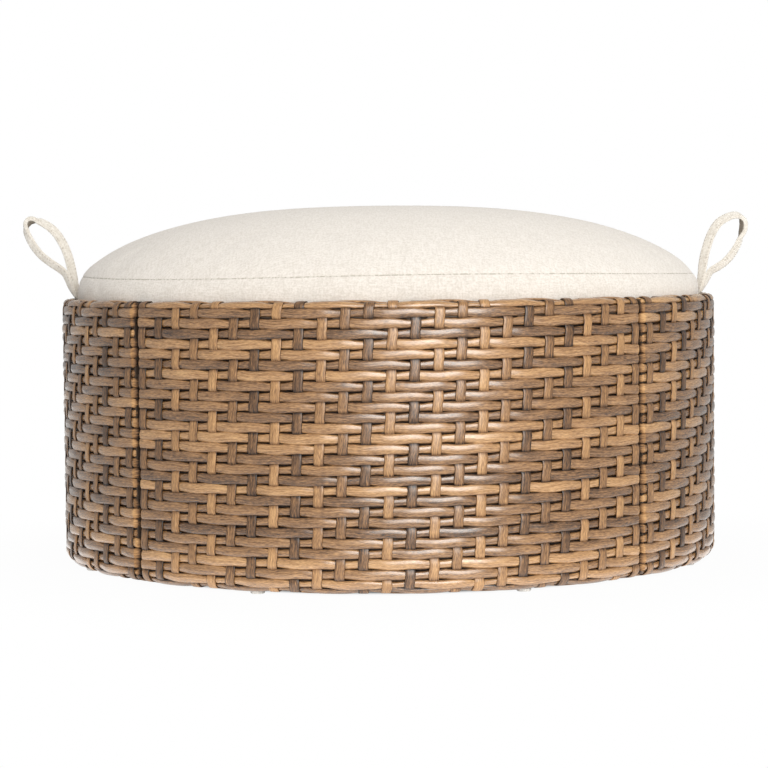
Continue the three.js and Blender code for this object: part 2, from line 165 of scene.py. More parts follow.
def bowl_faces(rings: int, around: int) -> list[Array]:
    """Join rings into a closed surface, with a pole before the first and after the last.

    Args:
        rings: Rings between the poles.
        around: Points in each ring.

    Returns:
        The quads between the rings and the poles' triangles. The poles are the last two points.
    """
    turn = np.arange(around)
    after = (turn + 1) % around
    first, last = rings * around, rings * around + 1
    start = np.stack([np.full(around, first), after, turn], -1)
    top = (rings - 1) * around
    end = np.stack([np.full(around, last), top + turn, top + after], -1)
    return [grid_quads(rings, around), np.concatenate([start, end])]


def signed_volume(points: Array, faces: Sequence[Array]) -> float:
    """Sum the signed volumes between the origin and the triangles that each face fans out into.

    Args:
        points: Vertices, one row (x, y, z) each.
        faces: Arrays of faces, each with equally many corners a face.

    Returns:
        Six times the volume, negative where the faces point inwards.
    """
    total = 0.0
    for group in faces:
        first = points[group[:, 0]]
        for corner in range(1, group.shape[1] - 1):
            side = np.cross(points[group[:, corner]], points[group[:, corner + 1]])
            total += float(np.einsum("ij,ij->", first, side))
    return total


def make_piece(
    name: str,
    points: Array,
    faces: Sequence[Array],
    uv: Array | None = None,
    attributes: dict[str, Array] | None = None,
) -> bpy.types.Object:
    """Make a smooth-shaded mesh object at the origin, with its faces pointing outwards.

    Args:
        name: The piece's name.
        points: Vertices, one row (x, y, z) each.
        faces: Arrays of faces, each with equally many corners a face.
        uv: One row (u, v) for each vertex.
        attributes: Values for each vertex, by name.

    Returns:
        The object, in the scene.
    """
    if signed_volume(points, faces) < 0:
        faces = [group[:, ::-1] for group in faces]
    corners = np.concatenate([group.ravel() for group in faces]).astype(np.int32)
    counts = np.concatenate([np.full(len(group), group.shape[1]) for group in faces])
    starts = np.concatenate([[0], np.cumsum(counts)[:-1]]).astype(np.int32)
    mesh = bpy.data.meshes.new(name)
    mesh.vertices.add(len(points))
    mesh.loops.add(len(corners))
    mesh.polygons.add(len(counts))
    mesh.vertices.foreach_set("co", points.astype(np.float32).ravel())
    mesh.loops.foreach_set("vertex_index", corners)
    mesh.polygons.foreach_set("loop_start", starts)
    mesh.polygons.foreach_set("use_smooth", np.ones(len(counts), bool))
    mesh.update(calc_edges=True)
    if uv is not None:
        layer = mesh.uv_layers.new(name="UVMap")
        layer.data.foreach_set("uv", uv[corners].astype(np.float32).ravel())
    for key, values in (attributes or {}).items():
        layer = mesh.attributes.new(key, "FLOAT", "POINT")
        layer.data.foreach_set("value", values.astype(np.float32).ravel())
    piece = bpy.data.objects.new(name, mesh)
    bpy.context.scene.collection.objects.link(piece)
    return piece


def dress(
    piece: bpy.types.Object, material: bpy.types.Material, body: Body, slot: Slot, *nodes: str
) -> None:
    """Put a piece on its body in place of CAD nodes, give it its finish and report it.

    Args:
        piece: The piece.
        material: Its finish.
        body: The body that it rides on.
        slot: The record's material slot for the piece; not used.
        nodes: The CAD nodes that it replaces.
    """
    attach(piece, body.value)
    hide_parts(*nodes)
    piece.data.materials.append(material)
    LOG.info("%s: %d faces", piece.name, len(piece.data.polygons))


def smooth_path(knots: Array, count: int, samples: int = 16) -> Array:
    """Run a smooth curve through knots: a cubic between each two, with slopes from their neighbours.

    Args:
        knots: Points, one a row.
        count: How many points to return.
        samples: Points worked out between each two knots.

    Returns:
        Points at equal distances along the curve.
    """
    padded = np.vstack([2 * knots[0] - knots[1], knots, 2 * knots[-1] - knots[-2]])
    share = np.linspace(0, 1, samples, endpoint=False)[:, None, None]
    before, start, end, after = (padded[i : len(padded) - 3 + i] for i in range(4))
    slope_in, slope_out = (end - before) / 2, (after - start) / 2
    cubic = (
        (2 * share**3 - 3 * share**2 + 1) * start
        + (share**3 - 2 * share**2 + share) * slope_in
        + (3 * share**2 - 2 * share**3) * end
        + (share**3 - share**2) * slope_out
    )
    dense = np.vstack([cubic.transpose(1, 0, 2).reshape(-1, knots.shape[1]), knots[-1:]])
    along = walked(dense)
    wanted = np.linspace(0, along[-1], count)
    return np.stack([np.interp(wanted, along, column) for column in dense.T], -1)


class Shade:
    """A shader socket whose arithmetic adds Math nodes to its material."""

    def __init__(self, graph: "Graph", socket: bpy.types.NodeSocket | None) -> None:
        """Wrap one output socket of a graph's node."""
        self.graph = graph
        self.socket = socket

    def _math(self, operation: str, *values: "Shade | float") -> "Shade":
        """Add a Math node on values, in their order."""
        return self.graph.node("ShaderNodeMath", {"operation": operation}, dict(enumerate(values)))

    def __add__(self, other: "Shade | float") -> "Shade":
        """Add."""
        return self._math("ADD", self, other)

    __radd__ = __add__

    def __sub__(self, other: "Shade | float") -> "Shade":
        """Subtract a value."""
        return self._math("SUBTRACT", self, other)

    def __rsub__(self, other: float) -> "Shade":
        """Subtract from a value."""
        return self._math("SUBTRACT", other, self)

    def __mul__(self, other: "Shade | float") -> "Shade":
        """Multiply."""
        return self._math("MULTIPLY", self, other)

    __rmul__ = __mul__

    def clamped(self) -> "Shade":
        """Keep between 0 and 1."""
        return self._math("MINIMUM", self._math("MAXIMUM", self, 0.0), 1.0)

    def step(self, low: float, high: float) -> "Shade":
        """Rise smoothly from 0 at the low value to 1 at the high one."""
        inputs = {"Value": self, "From Min": low, "From Max": high}
        return self.graph.node("ShaderNodeMapRange", {"interpolation_type": "SMOOTHSTEP"}, inputs)


class Graph:
    """The nodes of a material or a world."""

    def __init__(self, owner: bpy.types.Material | bpy.types.World) -> None:
        """Start with an empty node tree."""
        owner.use_nodes = True
        self.owner = owner
        self.tree = owner.node_tree
        self.tree.nodes.clear()

    def node(
        self,
        kind: str,
        settings: dict[str, Any] | None = None,
        inputs: dict[str | int, Any] | None = None,
        output: str | int = 0,
    ) -> Shade:
        """Add a node.

        Args:
            kind: The node's type.
            settings: Its properties, set first; "stops" gives a ramp's (position, colour) pairs.
            inputs: Values or links of its sockets, by name or place.
            output: The socket to return.

        Returns:
            That output.
        """
        made = self.tree.nodes.new(kind)
        for key, value in (settings or {}).items():
            if key == "stops":
                set_stops(made.color_ramp, value)
            else:
                setattr(made, key, value)
        for key, value in (inputs or {}).items():
            if isinstance(value, Shade):
                self.tree.links.new(value.socket, made.inputs[key])
            else:
                made.inputs[key].default_value = value
        return Shade(self, made.outputs[output] if made.outputs else None)

    def noise(self, scale: float | Color, detail: float = 2.0, source: str = "Object") -> Shade:
        """Add a noise texture.

        Args:
            scale: Units of its pattern to a metre: one number, or one for each axis.
            detail: How many finer layers it has.
            source: The coordinates that it reads, Object or UV.

        Returns:
            Its value.
        """
        where = self.node("ShaderNodeTexCoord", output=source)
        stretch = (scale,) * 3 if isinstance(scale, float) else scale
        spread = self.node("ShaderNodeMapping", inputs={"Vector": where, "Scale": stretch})
        inputs = {"Vector": spread, "Scale": 1.0, "Detail": detail}
        return self.node("ShaderNodeTexNoise", inputs=inputs)

    def attribute(self, name: str) -> Shade:
        """Read a float attribute of the mesh."""
        return self.node("ShaderNodeAttribute", {"attribute_name": name}, output="Fac")

    def mix(self, share: Shade, low: Shade | Color, high: Color) -> Shade:
        """Mix two colours.

        Args:
            share: How much of the second is taken.
            low: The first colour.
            high: The second colour.

        Returns:
            The colour.
        """
        first = low if isinstance(low, Shade) else (*low, 1.0)
        inputs = {0: share, 6: first, 7: (*high, 1.0)}
        return self.node("ShaderNodeMix", {"data_type": "RGBA"}, inputs, 2)

    def bump(self, height: Shade, depth: float) -> Shade:
        """Add a Bump node, for a height of 1 that stands that many metres proud."""
        inputs = {"Height": height, "Distance": depth, "Strength": 1.0}
        return self.node("ShaderNodeBump", inputs=inputs)

    def shader(self, inputs: dict[str, Any]) -> bpy.types.Material:
        """Close the material with a Principled shader.

        Args:
            inputs: Values or links of the shader's sockets.

        Returns:
            The material.
        """
        surface = self.node("ShaderNodeBsdfPrincipled", inputs=inputs)
        self.node("ShaderNodeOutputMaterial", inputs={"Surface": surface})
        return self.owner


def set_stops(ramp: bpy.types.ColorRamp, stops: Sequence[tuple[float, Color]]) -> None:
    """Set a colour ramp's stops.

    Args:
        ramp: The ramp.
        stops: Positions from 0 to 1, with their colours.
    """
    while len(ramp.elements) < len(stops):
        ramp.elements.new(1.0)
    for element, (position, color) in zip(ramp.elements, stops):
        element.position = position
        element.color = (*color, 1.0)


@dataclass(frozen=True)
class WickerFinish:
    """Satin resin strands: a tone for each strand, with fine streaks and grooves along it.

    The mesh's attributes say where things show: tone, how light a strand is, taken down by painted
    shade in its gaps, at its edges and in its tucked ends, and raised by painted light on the rim
    rows and round the rows' end bends; dull, where it is rough and has no gloss.
    """

    tones: tuple[tuple[float, Color], ...] = (
        (0.0, (0.012, 0.004, 0.001)), (0.14, (0.062, 0.026, 0.008)), (0.38, (0.200, 0.098, 0.038)),
        (0.72, (0.480, 0.256, 0.104)), (1.0, (0.725, 0.436, 0.195)),
    )
    fine_scale: Color = (190, 1900, 1)
    broad_scale: Color = (48, 620, 1)
    patch_scale: Color = (16, 60, 1)
    fine_tone: float = 1.3
    broad_tone: float = 0.8
    patch_tone: float = 0.4
    roughness: float = 0.28
    dull_roughness: float = 0.4
    gloss_index: float = 1.75
    groove: float = 0.18 * MM

    def material(self) -> bpy.types.Material:
        """Build the material: colour by tone and streaks, grooves as bump."""
        graph = Graph(bpy.data.materials.new("resin_wicker"))
        fine = graph.noise(self.fine_scale, 3.0, "UV")
        broad = graph.noise(self.broad_scale, 2.0, "UV")
        patch = graph.noise(self.patch_scale, 1.0, "UV")
        streaks = (fine - 0.5) * self.fine_tone
        # The tone attribute holds each strand's own tone with painted shade in the gaps, at the edges
        # and in the tucked ends, and painted light on the rim rows and round the rows' end bends.
        tone = graph.attribute("tone") + streaks + (broad - 0.5) * self.broad_tone
        tone = (tone + (patch - 0.5) * self.patch_tone).clamped()
        dull = graph.attribute("dull")
        inputs = {
            "Base Color": graph.node("ShaderNodeValToRGB", {"stops": self.tones}, {"Fac": tone}),
            "Roughness": self.roughness + (broad - 0.5) * 0.2 + dull * self.dull_roughness,
            "Normal": graph.bump(fine * 0.6 + broad * 0.8, self.groove),
            "Specular IOR Level": 0.5,
            "Coat Weight": 1 - dull,
            "Coat Roughness": self.roughness - 0.02,
            "Coat IOR": self.gloss_index,
        }
        return graph.shader(inputs)


@dataclass(frozen=True)
class FabricFinish:
    """Nubby woven cloth: crossed yarns of uneven thickness, with slubs, flecks and stitching.

    The mesh's attributes say where things show: stitch, the stitches' holes, and on the cushion a
    dark line along the seam, painted shade in its crease; inner, painted shade on the strap's inner
    face, in dark brown; coarse, dark flecks along the cloth. A mesh without them shows none.
    """

    name: str
    color: Color
    shade: Color
    # Stitch holes, and on the cushion also a dark line of painted shade in the seam's crease.
    stitch: Color = (0.40, 0.35, 0.285)
    # Painted shade on the strap's inner face: a dark brown.
    inner: Color = (0.155, 0.120, 0.080)
    yarns: float = 480.0
    depth: float = 0.5 * MM

    def material(self) -> bpy.types.Material:
        """Build the material: yarns over and under as bump, slubs and flecks as colour."""
        graph = Graph(bpy.data.materials.new(self.name))
        yarns = self.yarns
        across = graph.noise((yarns / 7, yarns, yarns), source="UV")
        along = graph.noise((yarns, yarns / 7, yarns), source="UV")
        nubs = graph.noise(yarns * 0.95, 3.0)
        cloud = graph.noise(24.0)
        yarn = (across + along) * 0.5
        flecks = graph.noise((190, 820, 1), source="UV").step(0.54, 0.68)
        share = nubs.step(0.36, 0.60) * 0.55 + yarn.step(0.38, 0.60) * 0.45
        share = share + (cloud - 0.5) * 0.2 - flecks * graph.attribute("coarse") * 0.7
        color = graph.mix(share.clamped(), self.shade, self.color)
        # Stitch holes as dots; where the mark runs all along the cushion's seam it leaves a dark
        # line, painted shade in the crease.
        holes = graph.noise(330.0, 0.0).step(0.44, 0.56) * 0.65 + 0.3
        sewn = (graph.attribute("stitch") * holes).clamped()
        color = graph.mix(sewn, color, self.stitch)
        # Painted shade on the strap's inner face, a little patchy with the nubs.
        inside = graph.attribute("inner") * (0.75 + nubs * 0.25)
        inputs = {
            "Base Color": graph.mix(inside.clamped(), color, self.inner),
            "Roughness": 0.92,
            "Diffuse Roughness": 0.7,
            "Normal": graph.bump(nubs * 0.6 + yarn * 0.7, self.depth),
            "Sheen Weight": 0.1,
            "Sheen Roughness": 0.6,
            "Specular IOR Level": 0.1,
        }
        return graph.shader(inputs)


@dataclass(frozen=True)
class PaintedMetalFinish:
    """Powder-coated tube and sheet: a fine pebbled skin with faint clouds and rubbed spots."""

    name: str
    color: Color
    worn: Color
    roughness: float = 0.48

    def material(self) -> bpy.types.Material:
        """Build the material: clouds and rubbed spots as colour and shine, pebbles as bump."""
        graph = Graph(bpy.data.materials.new(self.name))
        pebbles = graph.noise(1400.0, 1.0)
        cloud = graph.noise(18.0, 4.0)
        rub = graph.noise(70.0, 5.0).step(0.62, 0.74)
        share = (rub * 0.5 + (cloud - 0.5) * 0.6).clamped()
        inputs = {
            "Base Color": graph.mix(share, self.color, self.worn),
            "Roughness": self.roughness + (cloud - 0.5) * 0.3 - rub * 0.1,
            "Normal": graph.bump(pebbles, 0.12 * MM),
            "Metallic": 0.35,
        }
        return graph.shader(inputs)


@dataclass(frozen=True)
class SteelFinish:
    """Zinc-plated steel: bright, with cloudy roughness and fine scratches."""

    name: str = "plated_steel"
    color: Color = (0.62, 0.61, 0.58)
    cloudy: Color = (0.4464, 0.4392, 0.4176)

    def material(self) -> bpy.types.Material:
        """Build the material: clouds as colour and shine, scratches as bump."""
        graph = Graph(bpy.data.materials.new(self.name))
        cloud = graph.noise(160.0, 3.0)
        scratch = graph.noise((2600, 300, 300))
        inputs = {
            "Base Color": graph.mix(cloud, self.cloudy, self.color),
            "Roughness": 0.24 + cloud * 0.2 + scratch * 0.1,
            "Normal": graph.bump(scratch, 0.04 * MM),
            "Metallic": 1.0,
        }
        return graph.shader(inputs)


@dataclass(frozen=True)
class PlasticFinish:
    """Moulded glides of natural nylon: matt grain, with scuffs."""

    name: str = "moulded_glide"
    color: Color = (0.78, 0.765, 0.73)
    scuffed: Color = (0.58, 0.56, 0.52)

    def material(self) -> bpy.types.Material:
        """Build the material: scuffs as colour, grain as shine and bump."""
        graph = Graph(bpy.data.materials.new(self.name))
        grain = graph.noise(1800.0)
        scuff = graph.noise((900, 120, 400), 4.0).step(0.5, 0.75)
        inputs = {
            "Base Color": graph.mix(scuff, self.color, self.scuffed),
            "Roughness": 0.5 + grain * 0.2,
            "Normal": graph.bump(grain, 0.08 * MM),
        }
        return graph.shader(inputs)


@dataclass(frozen=True)
class PanelOutline:
    """The outline that a panel is woven round: up inside the rim, over it, down and under.

    Distances along it count from its start, the lip's lower edge inside the rim.
    """

    radius: float
    rim_height: float
    base_height: float
    rim_width: float = 16.4 * MM
    rim_outer_corner: float = 10 * MM
    rim_inner_corner: float = 6 * MM
    base_outer_corner: float = 13 * MM
    base_inner_corner: float = 5 * MM
    base_width: float = 28.65 * MM
    rim_lip: float = 28 * MM
    base_lip: float = 26.5 * MM
    corner_points: int = 33

    def _arcs(self) -> list[tuple[float, float, float, float, float]]:
        """List the round corners in their order along the outline.

        Returns:
            Each as (radius, height, corner radius, first angle, last angle), in degrees.
        """
        inner = self.radius - self.rim_width
        foot = self.radius - self.base_width
        top, base = self.rim_height, self.base_height
        first, second = self.rim_inner_corner, self.rim_outer_corner
        third, fourth = self.base_outer_corner, self.base_inner_corner
        return [
            (inner + first, top - first, first, 180.0, 90.0),
            (self.radius - second, top - second, second, 90.0, 0.0),
            (self.radius - third, base + third, third, 0.0, -90.0),
            (foot + fourth, base + fourth, fourth, -90.0, -180.0),
        ]

    def table(self) -> Array:
        """Sample the outline.

        Lines join the arcs' ends, so the sum of the steps between samples is the distance.

        Returns:
            Columns of distance, radius, height, and the outward normal's two parts.
        """
        inner = self.radius - self.rim_width
        foot = self.radius - self.base_width
        samples = [np.array([[inner, self.rim_height - self.rim_lip, -1.0, 0.0]])]
        for middle, height, corner, first, last in self._arcs():
            angle = np.radians(np.linspace(first, last, self.corner_points))
            side, up = np.cos(angle), np.sin(angle)
            samples.append(np.stack([middle + corner * side, height + corner * up, side, up], -1))
        samples.append(np.array([[foot, self.base_height + self.base_lip, -1.0, 0.0]]))
        rows = np.vstack(samples)
        return np.column_stack([walked(rows[:, :2]), rows])

    def place(self, distance: Array, lift: Array) -> tuple[Array, Array]:
        """Find points of the outline, lifted outwards off it.

        Args:
            distance: Distances along the outline.
            lift: How far off it each point is.

        Returns:
            Their radii and heights.
        """
        table = self.table()
        radius, height, side, up = (
            np.interp(distance, table[:, 0], column) for column in table.T[1:]
        )
        return radius + lift * side, height + lift * up

    def length(self) -> float:
        """Give the outline's length."""
        return float(self.table()[-1, 0])

    def wall_start(self) -> float:
        """Find the first sample of the outside wall, where the normal is level.

        Returns:
            The distance at which the wall begins, under the rim's corner.
        """
        table = self.table()
        on_wall = (table[:, 3] > 1 - 1e-9) & (table[:, 2] > self.rim_height / 2)
        return float(table[on_wall, 0][0])


@dataclass
class Strands:
    """Strands of a panel, as arrays over (strand, step, side).

    Attributes:
        points: Their points.
        along: Distances along the strands.
        across: Distances across them.
        tone: What is added to each strand's own tone: painted shade, and on rows also painted light.
        dull: Where they are rough, from 0 to 1.
    """

    points: Array
    along: Array
    across: Array
    tone: Array
    dull: Array


@dataclass
class WovenPanel:
    """One side panel's weave: rows round the drum and stakes over the rim, two over and two under.

    Every row and stake is a strand carried along its path. Where a stake passes over two rows they
    lie back under it, and where two rows pass over it, it lies back under them; each stake's
    crossings are one row higher than those of the stake before it. A bed is how far a strand's
    back lies off the outline, a swing how far it goes in and out, a sway how far it goes sideways,
    and a sharpness how flat its swings are. A row's section is listed in degrees from its crown,
    and shares of painted shade and of dullness go round a strand's section.
    """

    name: str
    turn: float
    outline: PanelOutline
    tone_shift: int
    seed: int
    stakes: int = 25
    edge_stake_angle: float = 43.7
    first_row_drop: float = 3.0 * MM
    row_pitch: float = 11.3 * MM
    first_row: int = -3
    last_row: int = 31
    row_width: float = 11.5 * MM
    # Width of a row's flat back, wider than the row and painted dark as the shade in the gaps between
    # rows.
    row_skirt: float = 13.2 * MM
    row_taper: float = 0.30
    row_depth: float = 3.1 * MM
    row_edge_depth: float = 0.25 * MM
    row_squareness: tuple[float, float] = (0.85, 0.75)
    row_squeeze_place: float = 0.25
    row_squeeze_width: float = 0.8
    row_sharpness: float = 1.5
    row_swing: float = 1.35 * MM
    row_bed: float = -3.45 * MM
    row_sway: float = 0.55 * MM
    row_drifts: tuple[float, float] = (0.45 * MM, 0.25 * MM)
    row_section: tuple[float, ...] = (-90, -65, -36, 0, 36, 65, 90)
    # Painted shade round a row's section, from skirt to skirt: darker towards both edges and darkest
    # on the skirts.
    row_shade_shares: tuple[float, ...] = (-0.9, -0.34, -0.05, 0, 0, -0.01, -0.12, -0.46, -0.9)
    row_dull_shares: tuple[float, ...] = (1, 0.8, 0.3, 0, 0, 0, 0.3, 0.8, 1)
    stake_width: float = 11.2 * MM
    stake_depth: float = 1.5 * MM
    stake_sharpness: float = 2.4
    stake_swing: float = 1.2 * MM
    stake_bed: float = -2.0 * MM
    stake_sway: float = 0.45 * MM
    stake_drift: float = 0.5 * MM
    stake_lean: float = 12.5 * MM
    lean_power: int = 6
    # Where a stake dives under two rows it is painted darker, as shade: where that starts, how soon
    # it is full, and how much.
    dive_from: float = -0.6
    dive_width: float = 0.9
    dive_shade: float = 0.4
    stake_section_shares: tuple[tuple[float, float], ...] = (
        (-0.5, -0.3), (-0.5, 0.2), (-0.44, 0.5), (-0.2, 0.62), (0.2, 0.62), (0.44, 0.5),
        (0.5, 0.2), (0.5, -0.3), (0.4, -0.5), (-0.4, -0.5),
    )
    # Painted shade round a stake's section: darker towards its edges and on its back.
    stake_shade_shares: tuple[float, ...] = (
        -0.7, -0.4, -0.06, 0, 0, -0.06, -0.4, -0.7, -0.8, -0.8,
    )
    stake_dull_shares: tuple[float, ...] = (1, 0.8, 0.6, 0.5, 0.5, 0.6, 0.8, 1, 1, 1)
    twill_phase: int = 7
    seam_gap: float = 2.4 * MM
    end_corner: float = 4.0 * MM
    end_depth: float = 9.5 * MM
    end_sway: float = 0.9 * MM
    end_sway_reach: float = 1.5
    end_shade: float = 8 * MM
    end_onset: float = 50
    # Painted light where a row's end bends round, and painted shade deeper in, in the slot between
    # panels.
    end_painted_light: float = 0.18
    end_painted_shade: float = 0.9
    # Painted light from above on the rows over the rim, added to their tone.
    rim_painted_light: float = 0.2
    tone_spread: float = 0.04
    streak_steps: tuple[float, float] = (0.37, 0.05)
    steps_per_stake: int = 7
    steps_past_stakes: int = 5
    steps_per_corner: int = 6
    steps_per_end: int = 3
    steps_per_row: int = 5
    row_tones: tuple[Tone, ...] = (
        Tone.UMBER, Tone.MID, Tone.DARK, Tone.LIGHT, Tone.TAN, Tone.BROWN, Tone.LIGHT, Tone.UMBER,
        Tone.MID, Tone.MID, Tone.BROWN, Tone.TAN, Tone.LIGHT, Tone.TAN, Tone.BROWN, Tone.MID,
        Tone.DARK, Tone.LIGHT, Tone.BROWN, Tone.MID, Tone.UMBER, Tone.DARK, Tone.MID, Tone.UMBER,
        Tone.LIGHT, Tone.MID, Tone.TAN, Tone.BROWN, Tone.MID, Tone.TAN, Tone.UMBER, Tone.MID,
    )
    stake_tones: tuple[Tone, ...] = (
        Tone.UMBER, Tone.DARK, Tone.TAN, Tone.MID, Tone.LIGHT, Tone.UMBER, Tone.DEEP, Tone.LIGHT,
        Tone.DEEP, Tone.TAN, Tone.UMBER, Tone.DARK, Tone.TAN, Tone.DEEP, Tone.TAN, Tone.UMBER,
        Tone.LIGHT, Tone.MID, Tone.DEEP,
    )

    def _wave(self, crossing: Array, sharpness: float) -> Array:
        """Swing from -1, where a row lies under two stakes, to 1, where it lies over two.

        The wave is a cosine over four crossings, flattened by a hyperbolic tangent.

        Args:
            crossing: Places in the twill, 0 and 1 being the crossings under a stake.
            sharpness: How much the wave is flattened.

        Returns:
            The swing.
        """
        cosine = np.cos(np.pi * (crossing - 0.5) / 2)
        return -np.tanh(sharpness * cosine) / math.tanh(sharpness)

    def _wobble(self, where: Array, key: Array) -> Array:
        """Give a slow uneven drift between -1 and 1: three sines whose phases follow the key.

        Args:
            where: Places along the strands.
            key: A number for each strand.

        Returns:
            The drift.
        """
        phase = key * GOLDEN_ANGLE + self.seed
        return (
            np.sin(2.1 * where + phase)
            + 0.6 * np.sin(5.3 * where + 1.7 * phase)
            + 0.4 * np.sin(11.7 * where + 2.9 * phase)
        ) / 2

    def _plan(self) -> tuple[Array, Array, Array, Array]:
        """Trace a row seen from above: in along one end, round its corner, along the arc, and back.

        Returns:
            Points, outward normals, places counted in stakes, and which are on the arc.
        """
        centre_radius = self.outline.radius - self.end_corner
        inset = self.seam_gap + self.end_corner
        arc_end = SEAM_ANGLE - math.asin(inset / centre_radius)
        count = (self.stakes - 1) * self.steps_per_stake + self.steps_past_stakes
        arc = np.linspace(-arc_end, arc_end, count)
        bend = np.linspace(arc_end, SEAM_ANGLE + math.pi / 2, self.steps_per_corner + 1)[1:]
        inward = np.linspace(0, self.end_depth, self.steps_per_end + 1)[1:]
        centre = centre_radius * np.array([math.cos(arc_end), math.sin(arc_end)])
        along = np.array([math.cos(SEAM_ANGLE), math.sin(SEAM_ANGLE)])
        bend_normal = np.stack([np.cos(bend), np.sin(bend)], -1)
        bend_point = centre + self.end_corner * bend_normal
        side_normal = np.repeat(bend_normal[-1:], len(inward), axis=0)
        side_point = bend_point[-1] - inward[:, None] * along
        end_point = np.vstack([bend_point, side_point])
        end_normal = np.vstack([bend_normal, side_normal])
        arc_normal = np.stack([np.cos(arc), np.sin(arc)], -1)
        flip = np.array([1, -1])
        points = np.vstack([(end_point * flip)[::-1], self.outline.radius * arc_normal, end_point])
        normals = np.vstack([(end_normal * flip)[::-1], arc_normal, end_normal])
        far = walked(points)
        pitch = math.radians(2 * self.edge_stake_angle / (self.stakes - 1)) * self.outline.radius
        place = (far - far[-1] / 2) / pitch + (self.stakes - 1) / 2
        on_arc = np.zeros(len(points), bool)
        on_arc[len(end_point) : len(end_point) + count] = True
        return points, normals, place, on_arc

    def _row_strands(self, rows: Array, points: Array, normals: Array, place: Array) -> Strands:
        """Carry a half-round section along rows, all at once, on a flat back that stays wide.

        A row narrows where it dives under a stake and wanders a little up and down. Its wide flat
        back is painted dark as shade between the rows; its edges, and its end where it turns inwards,
        are duller and painted darker as shade, and the end's bend is painted lighter as a highlight.

        Args:
            rows: The rows' numbers, counted down from the first on the wall.
            points: The path seen from above.
            normals: Its outward normals.
            place: Its places counted in stakes.

        Returns:
            The rows.
        """
        crossing = rows[:, None] + place[None] - self.twill_phase
        cycle = (crossing + 2) % 4 - 2
        squeeze = np.exp(-(((cycle - self.row_squeeze_place) / self.row_squeeze_width) ** 2))
        width = self.row_width * (1 - self.row_taper * squeeze)
        bed = self.row_bed + self.row_swing * self._wave(crossing, self.row_sharpness)
        slow, quick = self.row_drifts
        drift = slow * self._wobble(place[None] / 7, 0.4 * rows[:, None])
        drift = drift + quick * self._wobble(place[None] / 3, 3.0 * rows[:, None])
        first = self.outline.wall_start() + self.first_row_drop
        middle = first + (rows[:, None] - 1) * self.row_pitch
        middle = middle + self.row_sway * np.cos(np.pi * crossing) + drift
        turn = np.radians(np.array(self.row_section))
        wide_power, deep_power = self.row_squareness
        across = width[..., None] / 2 * rounded(np.sin(turn), wide_power)
        skirt = np.broadcast_to(self.row_skirt / 2, (*width.shape, 1))
        across = np.concatenate([-skirt, across, skirt], -1)
        edge_depth = self.row_edge_depth
        rise = edge_depth + (self.row_depth - edge_depth) * np.cos(turn) ** deep_power
        lift = bed[..., None] + np.concatenate([[0], rise, [0]])
        radius, height = self.outline.place(middle[..., None] + across, lift)
        outset = (radius - self.outline.radius)[..., None]
        plan = points[None, :, None] + outset * normals[None, :, None]
        half = (self.stakes - 1) / 2
        off = place[None] - half
        edge = np.clip((np.abs(off) - half + 1) / self.end_sway_reach, 0, 1) ** 2
        sway = self.end_sway * edge * self._wobble(rows[:, None] / 5, 4.0 * np.sign(off))
        sideways = np.stack([-plan[..., 1], plan[..., 0]], -1) / self.outline.radius
        plan = plan + sway[..., None, None] * sideways
        solid = np.concatenate([plan, height[..., None]], -1)
        along = np.broadcast_to(walked(points)[None, :, None], across.shape)
        # Painted light on a row's end as it turns inwards, and painted shade that deepens as it sinks
        # into the slot between panels.
        sunk = (self.outline.radius - np.linalg.norm(points, axis=-1)) / self.end_shade
        end = np.clip(sunk * self.end_onset, 0, 1)
        end_light_and_shade = self.end_painted_light * end - self.end_painted_shade * np.clip(sunk, 0, 1)
        # Painted shade round the section and on the skirts, with the end's painted light and shade.
        tone = np.array(self.row_shade_shares) + end_light_and_shade[:, None]
        dull = np.maximum(np.array(self.row_dull_shares), end[:, None])
        return Strands(solid, along, across, tone, dull)

    def _stake_strands(self) -> Strands:
        """Carry a flat section over the whole outline, for each stake.

        The stakes lean, all but the outermost ones. They are duller, and painted darker as shade, at
        their edges and back and where they dive under two rows.

        Returns:
            The stakes.
        """
        length = self.outline.length()
        steps = int(length / self.row_pitch * self.steps_per_row)
        distance = np.linspace(0, length, steps)
        numbers = np.arange(self.stakes)
        start = self.outline.wall_start() + self.first_row_drop
        row = 1 + (distance - start) / self.row_pitch
        crossing = row[None] + numbers[:, None] - self.twill_phase
        wave = self._wave(crossing, self.stake_sharpness)
        lift = self.stake_bed - self.stake_swing * wave
        section = np.array(self.stake_section_shares)
        across = np.broadcast_to(self.stake_width * section[:, 0], (*crossing.shape, len(section)))
        height_off = lift[..., None] + self.stake_depth * section[:, 1]
        spread = np.broadcast_to(distance[None, :, None], across.shape)
        radius, height = self.outline.place(spread, height_off)
        side = 2 * numbers / (self.stakes - 1) - 1
        angle = math.radians(self.edge_stake_angle) * side
        inner = 1 - np.abs(side) ** self.lean_power
        lean = self.stake_lean * (0.5 - distance / length)[None]
        lean = lean + self.stake_drift * self._wobble(distance[None] * 12, numbers[:, None])
        shift = inner[:, None] * lean + self.stake_sway * np.cos(np.pi * crossing)
        turned = angle[:, None, None] + (across + shift[..., None]) / radius
        solid = np.stack([radius * np.cos(turned), radius * np.sin(turned), height], -1)
        # Painted shade where a stake dives under two rows, as well as round its section's edges and
        # back.
        dive = np.clip((wave - self.dive_from) / self.dive_width, 0, 1)[..., None]
        tone = np.array(self.stake_shade_shares) - self.dive_shade * dive
        return Strands(solid, spread, across, tone, np.maximum(self.stake_dull_shares, dive))

    def _tones(self, numbers: Array, cycle: tuple[Tone, ...]) -> Array:
        """Pick each strand's tone from a cycle, a little off it by a seeded draw.

        Args:
            numbers: The strands' numbers.
            cycle: Tones, gone through again and again.

        Returns:
            The strands' tones.
        """
        draw = np.random.default_rng(self.seed)
        picked = np.array([cycle[(int(n) + self.tone_shift) % len(cycle)].value for n in numbers])
        return picked + draw.uniform(-self.tone_spread, self.tone_spread, len(picked))

